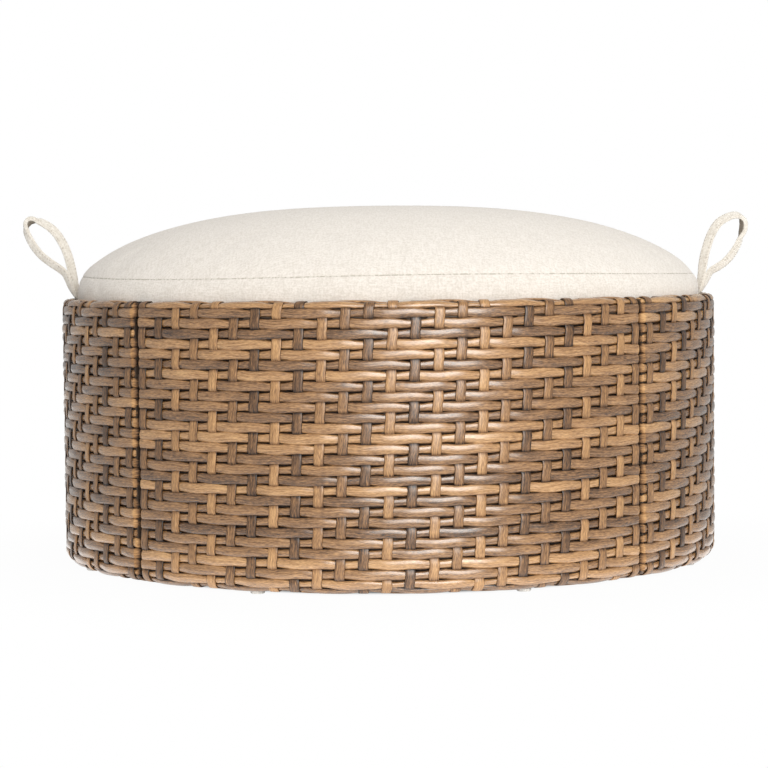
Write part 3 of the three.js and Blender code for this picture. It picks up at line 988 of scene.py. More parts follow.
    def _finish(
        self, name: str, groups: list[Strands], tones: list[Array], material: bpy.types.Material
    ) -> None:
        """Join groups of strands into one piece that stands for the panel's woven skin.

        Each strand reads the streaks in its UV map at a place of its own.

        Args:
            name: The piece's name.
            groups: Strands with equally many sides.
            tones: The strands' own tones in each group.
            material: Their finish.
        """
        points, quads, ends, uv, marks = [], [], [], [], []
        step_along, step_across = self.streak_steps
        count = 0
        for group, shades in zip(groups, tones):
            tubes, steps, sides, _ = group.points.shape
            for kept, faces in zip((quads, ends), tube_faces(tubes, steps, sides)):
                kept.append(faces + count)
            key = np.arange(tubes)[:, None, None] + self.seed
            u, v = group.along + step_along * key, group.across + step_across * key
            uv.append(np.stack([u, v], -1))
            tone = shades[:, None, None] + group.tone
            shape = group.along.shape
            marks.append(np.stack([np.broadcast_to(part, shape) for part in (tone, group.dull)]))
            points.append(group.points)
            count += tubes * steps * sides
        flat = np.vstack([part.reshape(-1, 3) for part in points])
        uv_rows = np.vstack([part.reshape(-1, 2) for part in uv])
        tone, dull = np.hstack([part.reshape(2, -1) for part in marks])
        cosine, sine = math.cos(math.radians(self.turn)), math.sin(math.radians(self.turn))
        spin = np.array([[cosine, sine, 0], [-sine, cosine, 0], [0, 0, 1]])
        faces = [np.vstack(quads), np.vstack(ends)]
        piece = make_piece(name, flat @ spin, faces, uv_rows, {"tone": tone, "dull": dull})
        dress(piece, material, Body.DRUM, Slot.WICKER, f"{self.name}_weave")

    def build(self, material: bpy.types.Material) -> None:
        """Make the panel's rows and stakes. Rows on the wall turn inwards at the panel's ends.

        Args:
            material: Their finish.
        """
        points, normals, place, on_arc = self._plan()
        wall_height = self.outline.rim_height - self.outline.base_height
        last_on_wall = math.floor(wall_height / self.row_pitch) - 1
        wall = np.arange(0, last_on_wall + 1)
        others = np.concatenate([
            np.arange(self.first_row, 0), np.arange(last_on_wall + 1, self.last_row + 1),
        ])
        groups = [
            self._row_strands(wall, points, normals, place),
            self._row_strands(others, points[on_arc], normals[on_arc], place[on_arc]),
        ]
        # Rows over the rim get painted light from above, added to their tone.
        tones = [
            self._tones(rows - 1, self.row_tones) + np.where(rows < 1, self.rim_painted_light, 0)
            for rows in (wall, others)
        ]
        self._finish(f"{self.name}_weave_rows", groups, tones, material)
        tones = [self._tones(np.arange(self.stakes), self.stake_tones)]
        self._finish(f"{self.name}_weave_stakes", [self._stake_strands()], tones, material)


@dataclass
class Cushion:
    """The loose cushion: a crowned top sewn to a band, and the band to a flat base.

    Its profile runs from under its middle, round the band, over the seam to the top. Cloth that is
    sewn a little too full is blown up between the seams, and its waves go onto that profile.
    Rings near the seam are listed by their distance from it in millimetres, and the seam's waves
    by their count, their size in millimetres and their phase.
    """

    base: float
    full_radius: float
    full_height: float
    seam_radius: float
    seam_height: float
    crown_height: float
    base_radius: float
    crown_power: float = 2.707
    crown_root: float = 1.446
    crown_shift: float = -3.4 * MM
    straight_share: float = 0.974
    band_top_power: float = 1.9
    band_foot_power: float = 1.5
    base_corner: float = 5 * MM
    crease_depth: float = 0.45 * MM
    crease_width: float = 1.2 * MM
    stitch_width: float = 0.6 * MM
    around: int = 288
    seam_mean: float = 2.4 * MM
    seam_reach: float = 16 * MM
    seam_waves: tuple[tuple[int, float, float], ...] = (
        (1, 0.87, 2.96), (2, 1.09, 0.62), (3, 0.93, -0.07), (4, 0.80, 1.61),
    )
    near_seam: tuple[float, ...] = (0.3, 0.6, 0.9, 1.2, 1.65, 2.25, 3.0, 4.2, 6.0)
    near_seam_crown_share: float = 0.55
    base_rings: int = 8
    corner_rings: int = 5
    band_rings: int = 12
    band_rings_end: float = 10 * MM
    crown_rings: int = 34
    first_ring_share: float = 0.03
    last_base_ring_share: float = 0.9
    last_crown_ring_share: float = 0.975
    cloth_seed: int = 11
    cloth_core_share: float = 0.1
    cloth_drop: float = 60 * MM
    cloth_seam_gap: float = 5 * MM
    sewn_small: float = 0.985
    fullness: float = 0.003
    slack: float = 0.5 * MM
    slack_waves: tuple[int, int] = (7, 40)
    frames: int = 20
    pressure: float = 4.0
    calm: float = 0.4
    wave_cap: float = 1.8 * MM

    def _band_radius(self, height: Array) -> Array:
        """Give the band's radius: fullest above its middle, and drawn in to both seams.

        Args:
            height: Heights on the band.

        Returns:
            The full radius, less a power of the height's share of the way to either seam.
        """
        full = self.full_height
        above = np.clip((height - full) / (self.seam_height - full), 0, 1)
        below = np.clip((full - height) / (full - self.base), 0, 1)
        radius = self.full_radius - (self.full_radius - self.seam_radius) * above**self.band_top_power
        return radius - (self.full_radius - self.base_radius) * below**self.band_foot_power

    def _crown_height(self, share: Array) -> Array:
        """Give the crown's height at a share of the seam's radius.

        A superellipse: share^power + rise^root = 1. A straight line takes it to the seam.

        Args:
            share: Shares of the seam's radius.

        Returns:
            The heights.
        """
        edge = self.straight_share
        rise = (1 - np.minimum(share, edge) ** self.crown_power) ** (1 / self.crown_root)
        rise = np.where(share > edge, rise * (1 - share) / (1 - edge), rise)
        return self.seam_height + (self.crown_height - self.seam_height) * rise

    def _profile(self) -> tuple[Array, Array, Array]:
        """Trace the cover from under its middle to its top, with close rings by the seam.

        Returns:
            Radii, heights, and distances from the top seam, below it negative.
        """
        near = MM * np.array(self.near_seam)
        base = np.linspace(self.first_ring_share, self.last_base_ring_share, self.base_rings)
        base_r = np.append(base * self.base_radius, self.base_radius - self.base_corner)
        bend = np.radians(np.linspace(-72, 0, self.corner_rings))
        bend_r = self.base_radius - self.base_corner * (1 - np.cos(bend))
        bend_z = self.base + self.base_corner * (1 + np.sin(bend))
        top = self.seam_height - self.band_rings_end
        up = np.linspace(self.base + 1.6 * self.base_corner, top, self.band_rings)
        up = np.concatenate([up, (self.seam_height - near)[::-1]])
        crown = np.linspace(self.last_crown_ring_share, self.first_ring_share, self.crown_rings)
        close = 1 - self.near_seam_crown_share * near / self.seam_radius
        share = np.concatenate([close, crown])
        radius = np.concatenate([
            base_r, bend_r, self._band_radius(up), [self.seam_radius], share * self.seam_radius,
        ])
        height = np.concatenate([
            np.full(len(base_r), self.base), bend_z, up, [self.seam_height],
            self._crown_height(share),
        ])
        along = walked(np.stack([radius, height], -1))
        return radius, height, along - along[len(base_r) + len(bend_r) + len(up)]

    def _seam_wave(self, front: Array) -> Array:
        """Raise and lower the seam a little round the cushion.

        Args:
            front: Angles from the front, positive to the right.

        Returns:
            Heights above the seam's own: a mean and one sine for each count of waves.
        """
        return self.seam_mean + MM * sum(
            size * np.sin(count * front + phase) for count, size, phase in self.seam_waves
        )

    def _cloth(self, start: Array, held: Array) -> Array:
        """Simulate a cloth that is held at some of its rings while pressure fills it.

        Args:
            start: The cloth's points (ring, step, 3).
            held: The rings that stay where they are.

        Returns:
            How far each point has moved (ring, step, 3).
        """
        rings, around, _ = start.shape
        piece = make_piece("cover_cloth", start.reshape(-1, 3), [grid_quads(rings, around)])
        group = piece.vertex_groups.new(name="held")
        points = held[:, None] * around + np.arange(around)
        group.add(points.ravel().tolist(), 1.0, "REPLACE")
        cloth = piece.modifiers.new("cloth", "CLOTH")
        cloth.settings.vertex_group_mass = "held"
        cloth.settings.use_pressure = True
        cloth.settings.uniform_pressure_force = self.pressure
        cloth.settings.shrink_min = -self.fullness
        cloth.settings.effector_weights.gravity = 0.0
        cloth.point_cache.frame_end = self.frames
        scene = bpy.context.scene
        for number in range(1, self.frames + 1):
            scene.frame_set(number)
        blown = piece.evaluated_get(bpy.context.evaluated_depsgraph_get()).to_mesh()
        found = np.empty(len(blown.vertices) * 3, np.float32)
        blown.vertices.foreach_get("co", found)
        moved = found.reshape(start.shape) - start
        scene.frame_set(1)
        bpy.data.objects.remove(piece, do_unlink=True)
        return moved

    def _blow_up(self) -> tuple[Array, Array]:
        """Blow a slightly small cover up as cloth, and see where it strays from round.

        The cloth starts with sines of 7 to 39 waves round it. It leaves out the middle of the top,
        the foot of the band and the rings close to the seam. What is left after each ring's mean
        is taken off is the cloth's own waves, and they are calmed and capped.

        Returns:
            The rings' distances from the seam, and their points' offsets (ring, step, 3).
        """
        radius, height, distance = self._profile()
        core = self.cloth_core_share * self.seam_radius
        clear = (np.abs(distance) > self.cloth_seam_gap) | (distance == 0)
        shown = (radius > core) & (distance > -self.cloth_drop) & (height > self.base)
        picked = np.flatnonzero(shown & clear)
        distance, radius = distance[picked], radius[picked] * self.sewn_small
        height = self.seam_height + (height[picked] - self.seam_height) * self.sewn_small
        rings = len(radius)
        angle = full_turn(self.around // 2)
        draw = np.random.default_rng(self.cloth_seed)
        counts = np.arange(*self.slack_waves)
        phases = draw.uniform(0, 2 * np.pi, (len(counts), rings, 1))
        slack = np.sin(counts[:, None, None] * angle + phases) / counts[:, None, None]
        slack = self.slack * slack.sum(0) * (distance != 0)[:, None]
        outwards = np.stack([np.cos(angle), np.sin(angle)], 0)
        start = np.stack([*(radius[:, None] * outwards[:, None]), height[:, None] + slack], -1)
        moved = self._cloth(start, np.flatnonzero((distance == 0) | (np.arange(rings) == 0)))
        radial = np.einsum("rsi,is->rs", moved[..., :2], outwards)
        rise = moved[..., 2] + slack
        radial, rise = (part - part.mean(1, keepdims=True) for part in (radial, rise))
        LOG.info("cloth waves: %.2f mm wide, %.2f mm high", radial.std() / MM, rise.std() / MM)
        waves = np.stack([radial * outwards[0], radial * outwards[1], rise], -1)
        waves = np.clip(self.calm * waves, -self.wave_cap, self.wave_cap)
        between = (waves + np.roll(waves, -1, axis=1)) / 2
        return distance, np.stack([waves, between], 2).reshape(rings, self.around, 3)

    def build(self, material: bpy.types.Material) -> None:
        """Make the cover.

        Args:
            material: Its finish.
        """
        radius, height, from_seam = self._profile()
        angle = full_turn(self.around)
        near = np.exp(-((from_seam / self.seam_reach) ** 2))
        z = height[:, None] + near[:, None] * self._seam_wave(angle + np.pi / 2)[None]
        crease = self.crease_depth * np.exp(-((from_seam / self.crease_width) ** 2))
        r = (radius - crease)[:, None]
        rise = np.clip((height - self.seam_height) / (self.crown_height - self.seam_height), 0, 1)
        x = r * np.cos(angle)[None] + (self.crown_shift * rise**0.5)[:, None]
        y = r * np.sin(angle)[None]
        grid = np.stack([x, y, z], -1)
        rings, waves = self._blow_up()
        units = np.eye(len(rings))
        weights = np.stack([np.interp(from_seam, rings, unit, left=0) for unit in units], -1)
        grid += np.einsum("pr,rsa->psa", weights, waves)
        poles = np.array([[0, 0, self.base], [self.crown_shift, 0, grid[-1, :, 2].mean()]])
        points = np.vstack([grid.reshape(-1, 3), poles])
        on_crown = (from_seam > 0)[:, None]
        u = np.where(on_crown, x, self.seam_radius * angle[None])
        uv = np.stack([u, np.where(on_crown, y, z)], -1)
        uv = np.vstack([uv.reshape(-1, 2), poles[:, :2]])
        # The stitch mark runs all along the seam: stitch holes, and painted shade in the seam's
        # crease.
        marks = {
            "stitch": np.exp(-((from_seam / self.stitch_width) ** 2)),
            "coarse": np.where(from_seam > 0, 0.25, 1.0),
        }
        marks = {
            key: np.append(np.repeat(value, self.around), [0, 0]) for key, value in marks.items()
        }
        faces = bowl_faces(len(radius), self.around)
        piece = make_piece("cushion_cover", points, faces, uv, marks)
        smooth = piece.modifiers.new("smooth", "SUBSURF")
        smooth.levels = smooth.render_levels = 1
        smooth.use_limit_surface = False
        nodes = ("cushion_top_panel", "cushion_band", "cushion_bottom_panel", "cushion_foam_core")
        dress(piece, material, Body.CUSHION, Slot.FABRIC, *nodes)


@dataclass(frozen=True)
class Strap:
    """A folded fabric strap, carried along a path in an upright plane through the drum's middle.

    Its section is a rounded oblong. At a twist of 0 its width lies in that plane, and at 90 degrees
    across it. Its ends are pinched flat, and where it swells it does so mostly on its inner face.
    """

    width: float
    depth: float
    sides: int = 20
    steps: int = 132
    pinch: float = 0.45
    pinch_share: float = 0.02
    wide_power: float = 0.55
    deep_power: float = 0.65
    swell_inwards: float = 0.3
    # Where the painted shade on the strap's inner face starts, and how soon it is full.
    inner_shade_from: float = 0.36
    inner_shade_fade: float = 0.1
    stitch_pitch: float = 3.4 * MM
    stitch_row_share: float = 0.36
    stitch_width: float = 0.8 * MM
    stitch_strength: float = 0.75

    def piece(
        self, name: str, direction: int, knots: Array, twists: Sequence[tuple[float, float, float]]
    ) -> bpy.types.Object:
        """Make a strap.

        Args:
            name: The piece's name.
            direction: 1 for the right side of the drum, -1 for the left.
            knots: Points (radius, height) that its middle passes through.
            twists: Shares of its length, with its twist in degrees and how many times as deep it is.

        Returns:
            The piece, with its stitches and the painted shade on its inner face as attributes.
        """
        path = smooth_path(knots, self.steps)
        tangent = np.gradient(path, axis=0)
        tangent /= np.linalg.norm(tangent, axis=1)[:, None]
        outward = np.stack([-tangent[:, 1], tangent[:, 0]], -1)[:, None]
        shares, degrees, swell = np.array(twists).T
        share = np.linspace(0, 1, self.steps)
        twist = np.radians(np.interp(share, shares, degrees))[:, None]
        swell = np.interp(share, shares, swell)[:, None]
        turn = full_turn(self.sides)
        flat = rounded(np.cos(turn), self.wide_power) * self.width / 2
        face = rounded(np.sin(turn), self.deep_power) / 2
        end = np.minimum(np.arange(self.steps), np.arange(self.steps)[::-1])[:, None] / self.steps
        squeeze = 1 - self.pinch * np.exp(-end / self.pinch_share)
        thick = (face * squeeze * swell + self.swell_inwards * (swell - 1)) * self.depth
        in_plane = flat * np.cos(twist) - thick * np.sin(twist)
        across = flat * np.sin(twist) + thick * np.cos(twist)
        radial = path[:, None, 0] + in_plane * outward[..., 0]
        height = path[:, None, 1] + in_plane * outward[..., 1]
        points = np.stack([direction * radial, across, height], -1).reshape(-1, 3)
        along = walked(path)
        around = np.linspace(0, 2 * (self.width + self.depth), self.sides)
        uv = np.stack(np.broadcast_arrays(along[:, None], around[None]), -1).reshape(-1, 2)
        pulse = np.clip(np.sin(2 * np.pi * along / self.stitch_pitch) * 3, 0, 1)
        off_seam = np.abs(flat) - self.stitch_row_share * self.width
        seam = np.exp(-((off_seam / self.stitch_width) ** 2))
        stitch = self.stitch_strength * pulse[:, None] * seam[None]
        # Painted shade on the strap's inner face.
        inner = np.clip((face - self.inner_shade_from) / self.inner_shade_fade, 0, 1)
        inner = np.broadcast_to(inner, thick.shape)
        attributes = {
            "stitch": stitch.ravel(), "inner": inner.ravel(), "coarse": np.ones(inner.size),
        }
        return make_piece(name, points, tube_faces(1, self.steps, self.sides), uv, attributes)


@dataclass
class LiftingLoop:
    """A lifting loop: a strap that leaves the cushion between band and rim, and returns there.

    Its tip, where the strap turns over, and how far that spreads are shares of the strap's length.
    """

    body: Body
    direction: int
    knots: tuple[tuple[float, float], ...]
    tip: float
    tip_spread: float
    strap: Strap = Strap(width=12.2 * MM, depth=4.8 * MM)
    tail: Strap = Strap(width=8.8 * MM, depth=2.0 * MM, steps=24)

    def _twists(self) -> list[tuple[float, float, float]]:
        """List the strap's twists: across at the rim, half flat on both sides, over at the full tip.

        Returns:
            Shares of its length, with its twist in degrees and how many times as deep it is.
        """
        tip, spread = self.tip, self.tip_spread
        return [
            (0.0, 84, 0.55), (0.07, 60, 0.8), (0.16, 40, 0.9), (tip - 4 * spread, 42, 1),
            (tip - 1.7 * spread, 62, 1.2), (tip - 0.7 * spread, 110, 1.5), (tip, 119, 1.6),
            (tip + 0.8 * spread, 110, 1.5), (tip + 1.9 * spread, 62, 1.2),
            (tip + 4 * spread, 42, 1), (0.84, 44, 0.9), (0.93, 58, 0.8), (1.0, 86, 0.55),
        ]

    def _tail_knots(self) -> Array:
        """Run the tail up the band's face and out to the place where the loop starts.

        Returns:
            Points (radius, height) that the tail's middle passes through.
        """
        low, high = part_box(f"{self.body.value}_tail")
        near, far = sorted((abs(low.x), abs(high.x)))
        half = self.tail.depth / 2
        return np.array([
            (near + half, low.z + 1.2 * MM), ((near + far) / 2 - 0.4 * MM, high.z - 6.5 * MM),
            (far - half - 0.6 * MM, high.z - 2.5 * MM), (far - half - 0.2 * MM, high.z - 0.2 * MM),
        ])

    def build(self, material: bpy.types.Material) -> None:
        """Make the loop and the tail that holds it to the band.

        Args:
            material: Their finish.
        """
        name = self.body.value
        knots = MM * np.array(self.knots)
        loop = self.strap.piece(f"{name}_strap", self.direction, knots, self._twists())
        dress(loop, material, self.body, Slot.LOOP, name)
        upright = ((0, 90, 1), (1, 90, 1))
        tail = self.tail.piece(f"{name}_tail_strap", self.direction, self._tail_knots(), upright)
        dress(tail, material, Body.CUSHION, Slot.LOOP, f"{name}_tail")


@dataclass
class Zip:
    """The zip round the back of the band: two tapes, a row of teeth, and a slider with its pull.

    Angles are in degrees, counted from the right over the back.
    """

    low: float
    high: float
    radius: float
    start: float = 22.5
    end: float = 157.5
    lean: float = 0.8 * MM
    tape_depth: float = 0.7 * MM
    tape_gap: float = 0.8 * MM
    tape_steps: int = 220
    tape_height_shares: tuple[float, ...] = (0, 0.33, 0.67, 1, 1, 0.67, 0.33, 0)
    tape_depth_shares: tuple[float, ...] = (0.8, 1, 1, 0.9, 0, 0, 0, 0)
    tooth_pitch: float = 2.6 * MM
    tooth_stagger: float = 0.5 * MM
    tooth_size: tuple[float, float, float] = (1.3 * MM, 1.2 * MM, 3.4 * MM)
    slider_half_size: tuple[float, float, float] = (4.2 * MM, 1.1 * MM, 5 * MM)
    pull_half_size: tuple[float, float, float] = (2.4 * MM, 0.5 * MM, 6.2 * MM)
    pull_swell: float = 0.9 * MM
    pull_rise: float = 0.5 * MM
    slider_outset: float = 1.2 * MM
    slider_middles: tuple[float, float] = (1.2 * MM, 2.5 * MM)
    slider_steps: int = 11
    slider_sides: int = 16

    def _ring_points(self, angle: Array, outset: Array, height: Array) -> Array:
        """Place points round the band.

        Args:
            angle: Their angles.
            outset: How far out from the band's face they are.
            height: Their heights.

        Returns:
            The points.
        """
        share = (height - self.low) / (self.high - self.low)
        radius = self.radius + self.lean * share + outset
        parts = np.broadcast_arrays(radius * np.cos(angle), radius * np.sin(angle), height)
        return np.stack(parts, -1)

    def _tapes(self) -> bpy.types.Object:
        """Sweep the two tapes: flat strips above and below the teeth, each a little ribbed.

        Returns:
            The tapes, as one piece.
        """
        steps, sides = self.tape_steps, len(self.tape_height_shares)
        angle = np.radians(np.linspace(self.start, self.end, steps))[None, :, None]
        middle = (self.low + self.high) / 2
        edges = np.array([[self.low, middle - self.tape_gap], [middle + self.tape_gap, self.high]])
        proud = self.tape_depth * np.array(self.tape_depth_shares)
        height = edges[:, :1] + (edges[:, 1:] - edges[:, :1]) * np.array(self.tape_height_shares)
        height = height[:, None]
        points = self._ring_points(angle, proud[None, None], height).reshape(-1, 3)
        uv = np.stack(np.broadcast_arrays(self.radius * angle, height), -1).reshape(-1, 2)
        return make_piece("cushion_zip_tapes", points, tube_faces(2, steps, sides), uv)

    def _teeth(self) -> bpy.types.Object:
        """Set small blocks along the tapes' meeting edges, one up and one down in turn.

        Returns:
            The teeth, as one piece.
        """
        count = int(np.radians(self.end - self.start) * self.radius / self.tooth_pitch)
        angle = np.radians(np.linspace(self.start, self.end, count + 2)[1:-1])
        side = np.where(np.arange(count) % 2 == 0, 1, -1)
        wide, deep, tall = self.tooth_size
        corner = np.array([(-1, -1), (1, -1), (1, 1), (-1, 1)]) / 2
        middle = (self.low + self.high) / 2 + self.tooth_stagger * side
        height = middle[:, None, None] + tall * np.array([-0.5, 0.5])[None, :, None]
        height = height + 0 * corner[None, None, :, 0]
        turned = angle[:, None, None] + wide * corner[:, 0] / self.radius + 0 * height
        narrowed = corner[:, 1] * np.array([[1.0], [0.8]])
        outset = self.tape_depth + deep * (0.45 + narrowed) + 0 * height
        points = self._ring_points(turned, outset, height).reshape(-1, 3)
        return make_piece("cushion_zip_teeth", points, tube_faces(count, 2, 4))

    def _slider(self) -> bpy.types.Object:
        """Make the slider's waisted body and its pull, from rounded oblong sections.

        Returns:
            Both, as one piece.
        """
        low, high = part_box("cushion_zip_slider")
        angle = math.atan2((low.y + high.y) / 2, (low.x + high.x) / 2)
        inner = self.radius + self.lean + self.tape_depth + self.slider_outset
        turn = full_turn(self.slider_sides)
        side, out = rounded(np.cos(turn), 0.5), rounded(np.sin(turn), 0.5)
        share = np.linspace(-1, 1, self.slider_steps)
        ends = share**10
        body_wide, body_deep, body_tall = self.slider_half_size
        pull_wide, pull_deep, pull_tall = self.pull_half_size
        waist = body_wide * (1 - 0.25 * (1 - share**2)) * (1 - ends * 0.35)
        swell = pull_wide + self.pull_swell * np.sin(np.pi * (share + 1) / 3)
        wide = np.stack([waist, swell * (1 - ends * 0.4)])[..., None] * side
        deep = np.array([[body_deep], [pull_deep]]) * (1 - ends * 0.3)
        deep = deep[..., None] * out + (inner + np.array(self.slider_middles))[:, None, None]
        body_z = (self.low + self.high) / 2 + body_tall * share
        pull_z = self.low + self.pull_rise + pull_tall * share
        height = np.stack([body_z, pull_z])[..., None] + 0 * wide
        x = deep * math.cos(angle) - wide * math.sin(angle)
        y = deep * math.sin(angle) + wide * math.cos(angle)
        points = np.stack([x, y, height], -1).reshape(-1, 3)
        faces = tube_faces(2, self.slider_steps, self.slider_sides)
        return make_piece("zip_slider_and_pull", points, faces)

    def build(self, cloth: bpy.types.Material, metal: bpy.types.Material) -> None:
        """Make the zip.

        Args:
            cloth: The tapes' finish.
            metal: The teeth's and slider's finish.
        """
        dress(self._tapes(), cloth, Body.CUSHION, Slot.ZIP, "cushion_zip")
        dress(self._teeth(), metal, Body.CUSHION, Slot.ZIP, "cushion_zip")
        dress(self._slider(), metal, Body.ZIP_SLIDER, Slot.FASTENER, "cushion_zip_slider")


@dataclass(frozen=True)
class Lamp:
    """An area lamp that faces the object, placed round it by angles in degrees.

    Its azimuth counts from the front, positive to the right, its elevation from the floor.
    """

    name: str
    azimuth: float
    elevation: float
    size: tuple[float, float]
    power: float
    mirrored: bool = True
    distance: float = 3.0
    aim_height: float = 0.2
    color: Color = (1.0, 0.985, 0.955)

    def hang(self) -> None:
        """Hang the lamp, out of the camera's sight."""
        data = bpy.data.lights.new(self.name, "AREA")
        data.shape = "RECTANGLE"
        data.size, data.size_y = self.size
        data.energy = self.power
        data.color = self.color
        lamp = bpy.data.objects.new(self.name, data)
        a, e = math.radians(self.azimuth), math.radians(self.elevation)
        out = Vector((math.sin(a) * math.cos(e), -math.cos(a) * math.cos(e), math.sin(e)))
        lamp.location = Vector((0, 0, self.aim_height)) + self.distance * out
        lamp.rotation_mode = "QUATERNION"
        lamp.rotation_quaternion = (-out).to_track_quat("-Z", "Y")
        lamp.visible_camera = False
        lamp.visible_glossy = self.mirrored
        bpy.context.scene.collection.objects.link(lamp)


@dataclass
class Studio:
    """A white room: the camera, the lamps, and a floor that keeps the shadow.

    The floor is painted. It glows white for the camera all round the drum, and for the drum itself
    it glows in a ring outside it and in a disc under it, as light thrown back by the ground. Each
    pair of radii says where such a share rises or falls.
    """

    camera_place: tuple[float, float, float] = (0.0, -2.8729, 0.3598)
    pitch: float = 0.0521
    roll: float = 0.0094
    yaw: float = -0.0021
    lens: float = 108.496
    sensor: float = 36.0
    sky: float = 0.42
    floor_half: float = 12.0
    floor_paint: float = 0.84
    floor_glow: float = 1.7
    white_from: tuple[float, float] = (0.345, 0.375)
    full_white_from: tuple[float, float] = (0.40, 0.7)
    near_white: float = 0.97
    ring_from: tuple[float, float] = (0.37, 0.405)
    ring_to: tuple[float, float] = (0.41, 0.56)
    ring_share: float = 0.62
    disc_to: tuple[float, float] = (0.29, 0.35)
    disc_share: float = 0.3
    lamps: tuple[Lamp, ...] = (
        Lamp("key", 18, 18, (1.0, 2.3), 38.0),
        Lamp("front", 1, 18, (0.9, 2.3), 22.0),
        Lamp("back", 192, 16, (2.0, 1.6), 34.0, mirrored=False),
    )

    def _camera(self) -> None:
        """Place the camera: turned by the yaw, tipped down by the pitch, rolled about its view."""
        side = Vector((math.cos(self.yaw), -math.sin(self.yaw), 0))
        ahead = Vector((math.sin(self.yaw), math.cos(self.yaw), 0))
        up = Vector((0, 0, 1))
        forward = math.cos(self.pitch) * ahead - math.sin(self.pitch) * up
        over = math.sin(self.pitch) * ahead + math.cos(self.pitch) * up
        right = math.cos(self.roll) * side - math.sin(self.roll) * over
        above = math.sin(self.roll) * side + math.cos(self.roll) * over
        data = bpy.data.cameras.new("camera")
        data.lens = self.lens
        data.sensor_width = self.sensor
        camera = bpy.data.objects.new("camera", data)
        turn = Matrix((right, above, -forward)).transposed()
        camera.matrix_world = Matrix.Translation(self.camera_place) @ turn.to_4x4()
        bpy.context.scene.collection.objects.link(camera)
        bpy.context.scene.camera = camera

    def _world(self) -> None:
        """Make the sky white for the camera, and dimmer for all other light."""
        graph = Graph(bpy.data.worlds.new("studio"))
        seen = graph.node("ShaderNodeLightPath", output="Is Camera Ray")
        strength = seen * (1 - self.sky) + self.sky
        inputs = {"Color": (1, 1, 1, 1), "Strength": strength}
        shine = graph.node("ShaderNodeBackground", inputs=inputs)
        graph.node("ShaderNodeOutputWorld", inputs={"Surface": shine})
        bpy.context.scene.world = graph.owner

    def _floor_material(self) -> bpy.types.Material:
        """Build the floor's finish: painted, glowing round the drum, and clear from below.

        Returns:
            The material.
        """
        graph = Graph(bpy.data.materials.new("studio_floor"))
        seen = graph.node("ShaderNodeLightPath", output="Is Camera Ray")
        unseen = 1 - seen
        where = graph.node("ShaderNodeTexCoord", output="Object")
        reach = graph.node("ShaderNodeVectorMath", {"operation": "LENGTH"}, {0: where}, "Value")
        paint = graph.node("ShaderNodeBsdfDiffuse", inputs={"Color": (*[self.floor_paint] * 3, 1.0)})
        glow = graph.node("ShaderNodeEmission", inputs={"Strength": seen + unseen * self.floor_glow})
        rest = 1 - self.near_white
        white = reach.step(*self.full_white_from) * rest + self.near_white
        white = seen * reach.step(*self.white_from) * white
        ring = (1 - reach.step(*self.ring_to)) * unseen * self.ring_share
        disc = (1 - reach.step(*self.disc_to)) * unseen * self.disc_share
        share = white + ring * reach.step(*self.ring_from) + disc
        both = graph.node("ShaderNodeMixShader", inputs={0: share, 1: paint, 2: glow})
        below = graph.node("ShaderNodeNewGeometry", output="Backfacing") * seen
        clear = graph.node("ShaderNodeBsdfTransparent")
        surface = graph.node("ShaderNodeMixShader", inputs={0: below, 1: both, 2: clear})
        graph.node("ShaderNodeOutputMaterial", inputs={"Surface": surface})
        return graph.owner

    def _floor(self) -> None:
        """Lay a square white floor."""
        half = self.floor_half
        corners = [(-half, -half, 0), (half, -half, 0), (half, half, 0), (-half, half, 0)]
        mesh = bpy.data.meshes.new("floor")
        mesh.from_pydata(corners, [], [(0, 1, 2, 3)])
        mesh.materials.append(self._floor_material())
        floor = bpy.data.objects.new("floor", mesh)
        bpy.context.scene.collection.objects.link(floor)

    def build(self) -> None:
        """Set up the room."""
        self._camera()
        self._world()
        self._floor()
        for lamp in self.lamps:
            lamp.hang()
        bpy.context.scene.view_settings.view_transform = "Standard"


def read_outline() -> PanelOutline:
    """Read the woven panels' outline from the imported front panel."""
    low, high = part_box("front_weave")
    return PanelOutline(radius=-low.y, rim_height=high.z, base_height=low.z)


def read_cushion(full_drop: float = 17 * MM) -> Cushion:
    """Read the cushion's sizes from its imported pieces.

    Args:
        full_drop: How far under its upper edge the band is fullest.

    Returns:
        The cushion.
    """
    band_low, band_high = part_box("cushion_band")
    base_low, base_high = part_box("cushion_bottom_panel")
    crown_low, crown_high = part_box("cushion_top_panel")
    return Cushion(
        base=base_low.z,
        full_radius=band_high.x,
        full_height=band_high.z - full_drop,
        seam_radius=crown_high.x,
        seam_height=crown_low.z,
        crown_height=crown_high.z,
        base_radius=base_high.x,
    )


def read_zip(thickness: float = 2.0 * MM) -> Zip:
    """Read the zip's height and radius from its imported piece.

    Args:
        thickness: How far its outermost point stands off the band's face.

    Returns:
        The zip.
    """
    low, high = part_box("cushion_zip")
    return Zip(low.z, high.z, high.y - thickness)


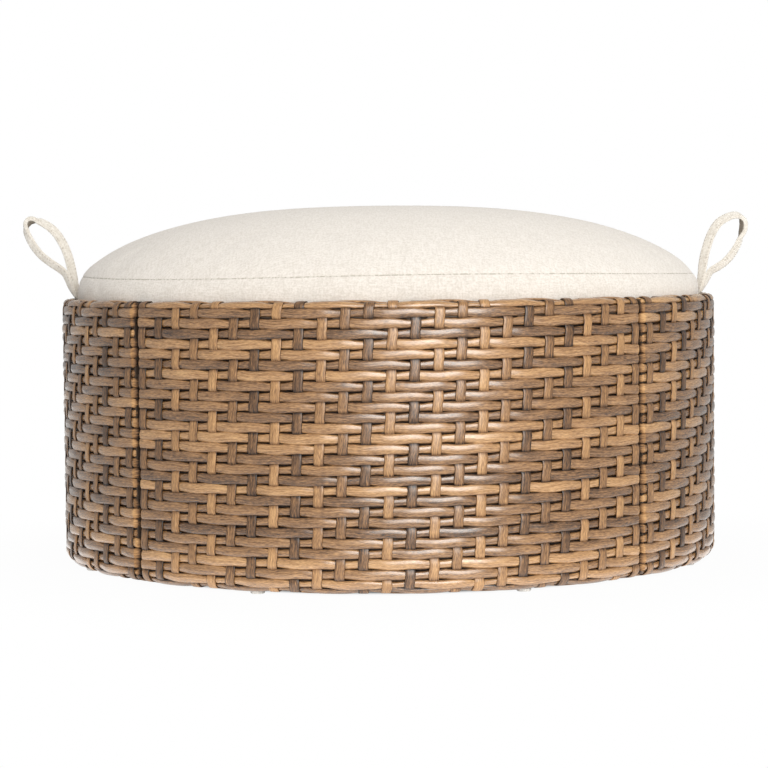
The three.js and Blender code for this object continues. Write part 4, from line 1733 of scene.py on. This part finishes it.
def make_panels(material: bpy.types.Material) -> None:
    """Weave the four panels. The side panels' outer stakes are set further in from their ends.

    Args:
        material: Their finish.
    """
    outline = read_outline()
    side = {"edge_stake_angle": 42.5, "end_corner": 6.5 * MM}
    panels = (
        ("front", -90.0, {}),
        ("right", 0.0, {**side, "seam_gap": 1.6 * MM}),
        ("back", 90.0, {}),
        ("left", 180.0, {**side, "seam_gap": 3.4 * MM}),
    )
    for number, (name, turn, sizes) in enumerate(panels):
        shift, seed = 5 * number, 3 + number
        WovenPanel(name, turn, outline, shift, seed, **sizes).build(material)


def dress_frame(steel: bpy.types.Material) -> None:
    """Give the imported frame, deck and hardware their finishes.

    Args:
        steel: The bolts' finish.
    """
    coat = PaintedMetalFinish("frame_coat", (0.085, 0.058, 0.040), (0.16, 0.125, 0.10))
    deck = PaintedMetalFinish("deck_coat", (0.10, 0.072, 0.053), (0.20, 0.165, 0.13), 0.55)
    by_slot = {
        Slot.FRAME: coat.material(),
        Slot.DECK: deck.material(),
        Slot.FASTENER: steel,
        Slot.GLIDE: PlasticFinish().material(),
    }
    slots = {row["node"]: row["material_slot"] for row in frame["record"]["subparts"]}
    for name, node in frame["nodes"].items():
        material = by_slot.get(Slot(slots[name]))
        if material is not None:
            node.data.materials.clear()
            node.data.materials.append(material)


def main() -> None:
    """Build the ottoman and its room."""
    logging.basicConfig(level=logging.INFO, format="%(name)s: %(message)s")
    Studio().build()
    make_panels(WickerFinish().material())
    cover = FabricFinish("cushion_cloth", (0.868, 0.826, 0.776), (0.724, 0.677, 0.617))
    strap = FabricFinish("strap_cloth", (0.94, 0.905, 0.845), (0.78, 0.735, 0.66), yarns=420.0)
    tape = FabricFinish("zip_tape_cloth", (0.80, 0.75, 0.67), (0.66, 0.61, 0.53))
    read_cushion().build(cover.material())
    strap_cloth = strap.material()
    LiftingLoop(Body.LOOP_LEFT, -1, LEFT_LOOP, tip=0.505, tip_spread=0.031).build(strap_cloth)
    LiftingLoop(Body.LOOP_RIGHT, 1, RIGHT_LOOP, tip=0.57, tip_spread=0.042).build(strap_cloth)
    steel = SteelFinish().material()
    read_zip().build(tape.material(), steel)
    dress_frame(steel)


if __name__ == "__main__":
    main()
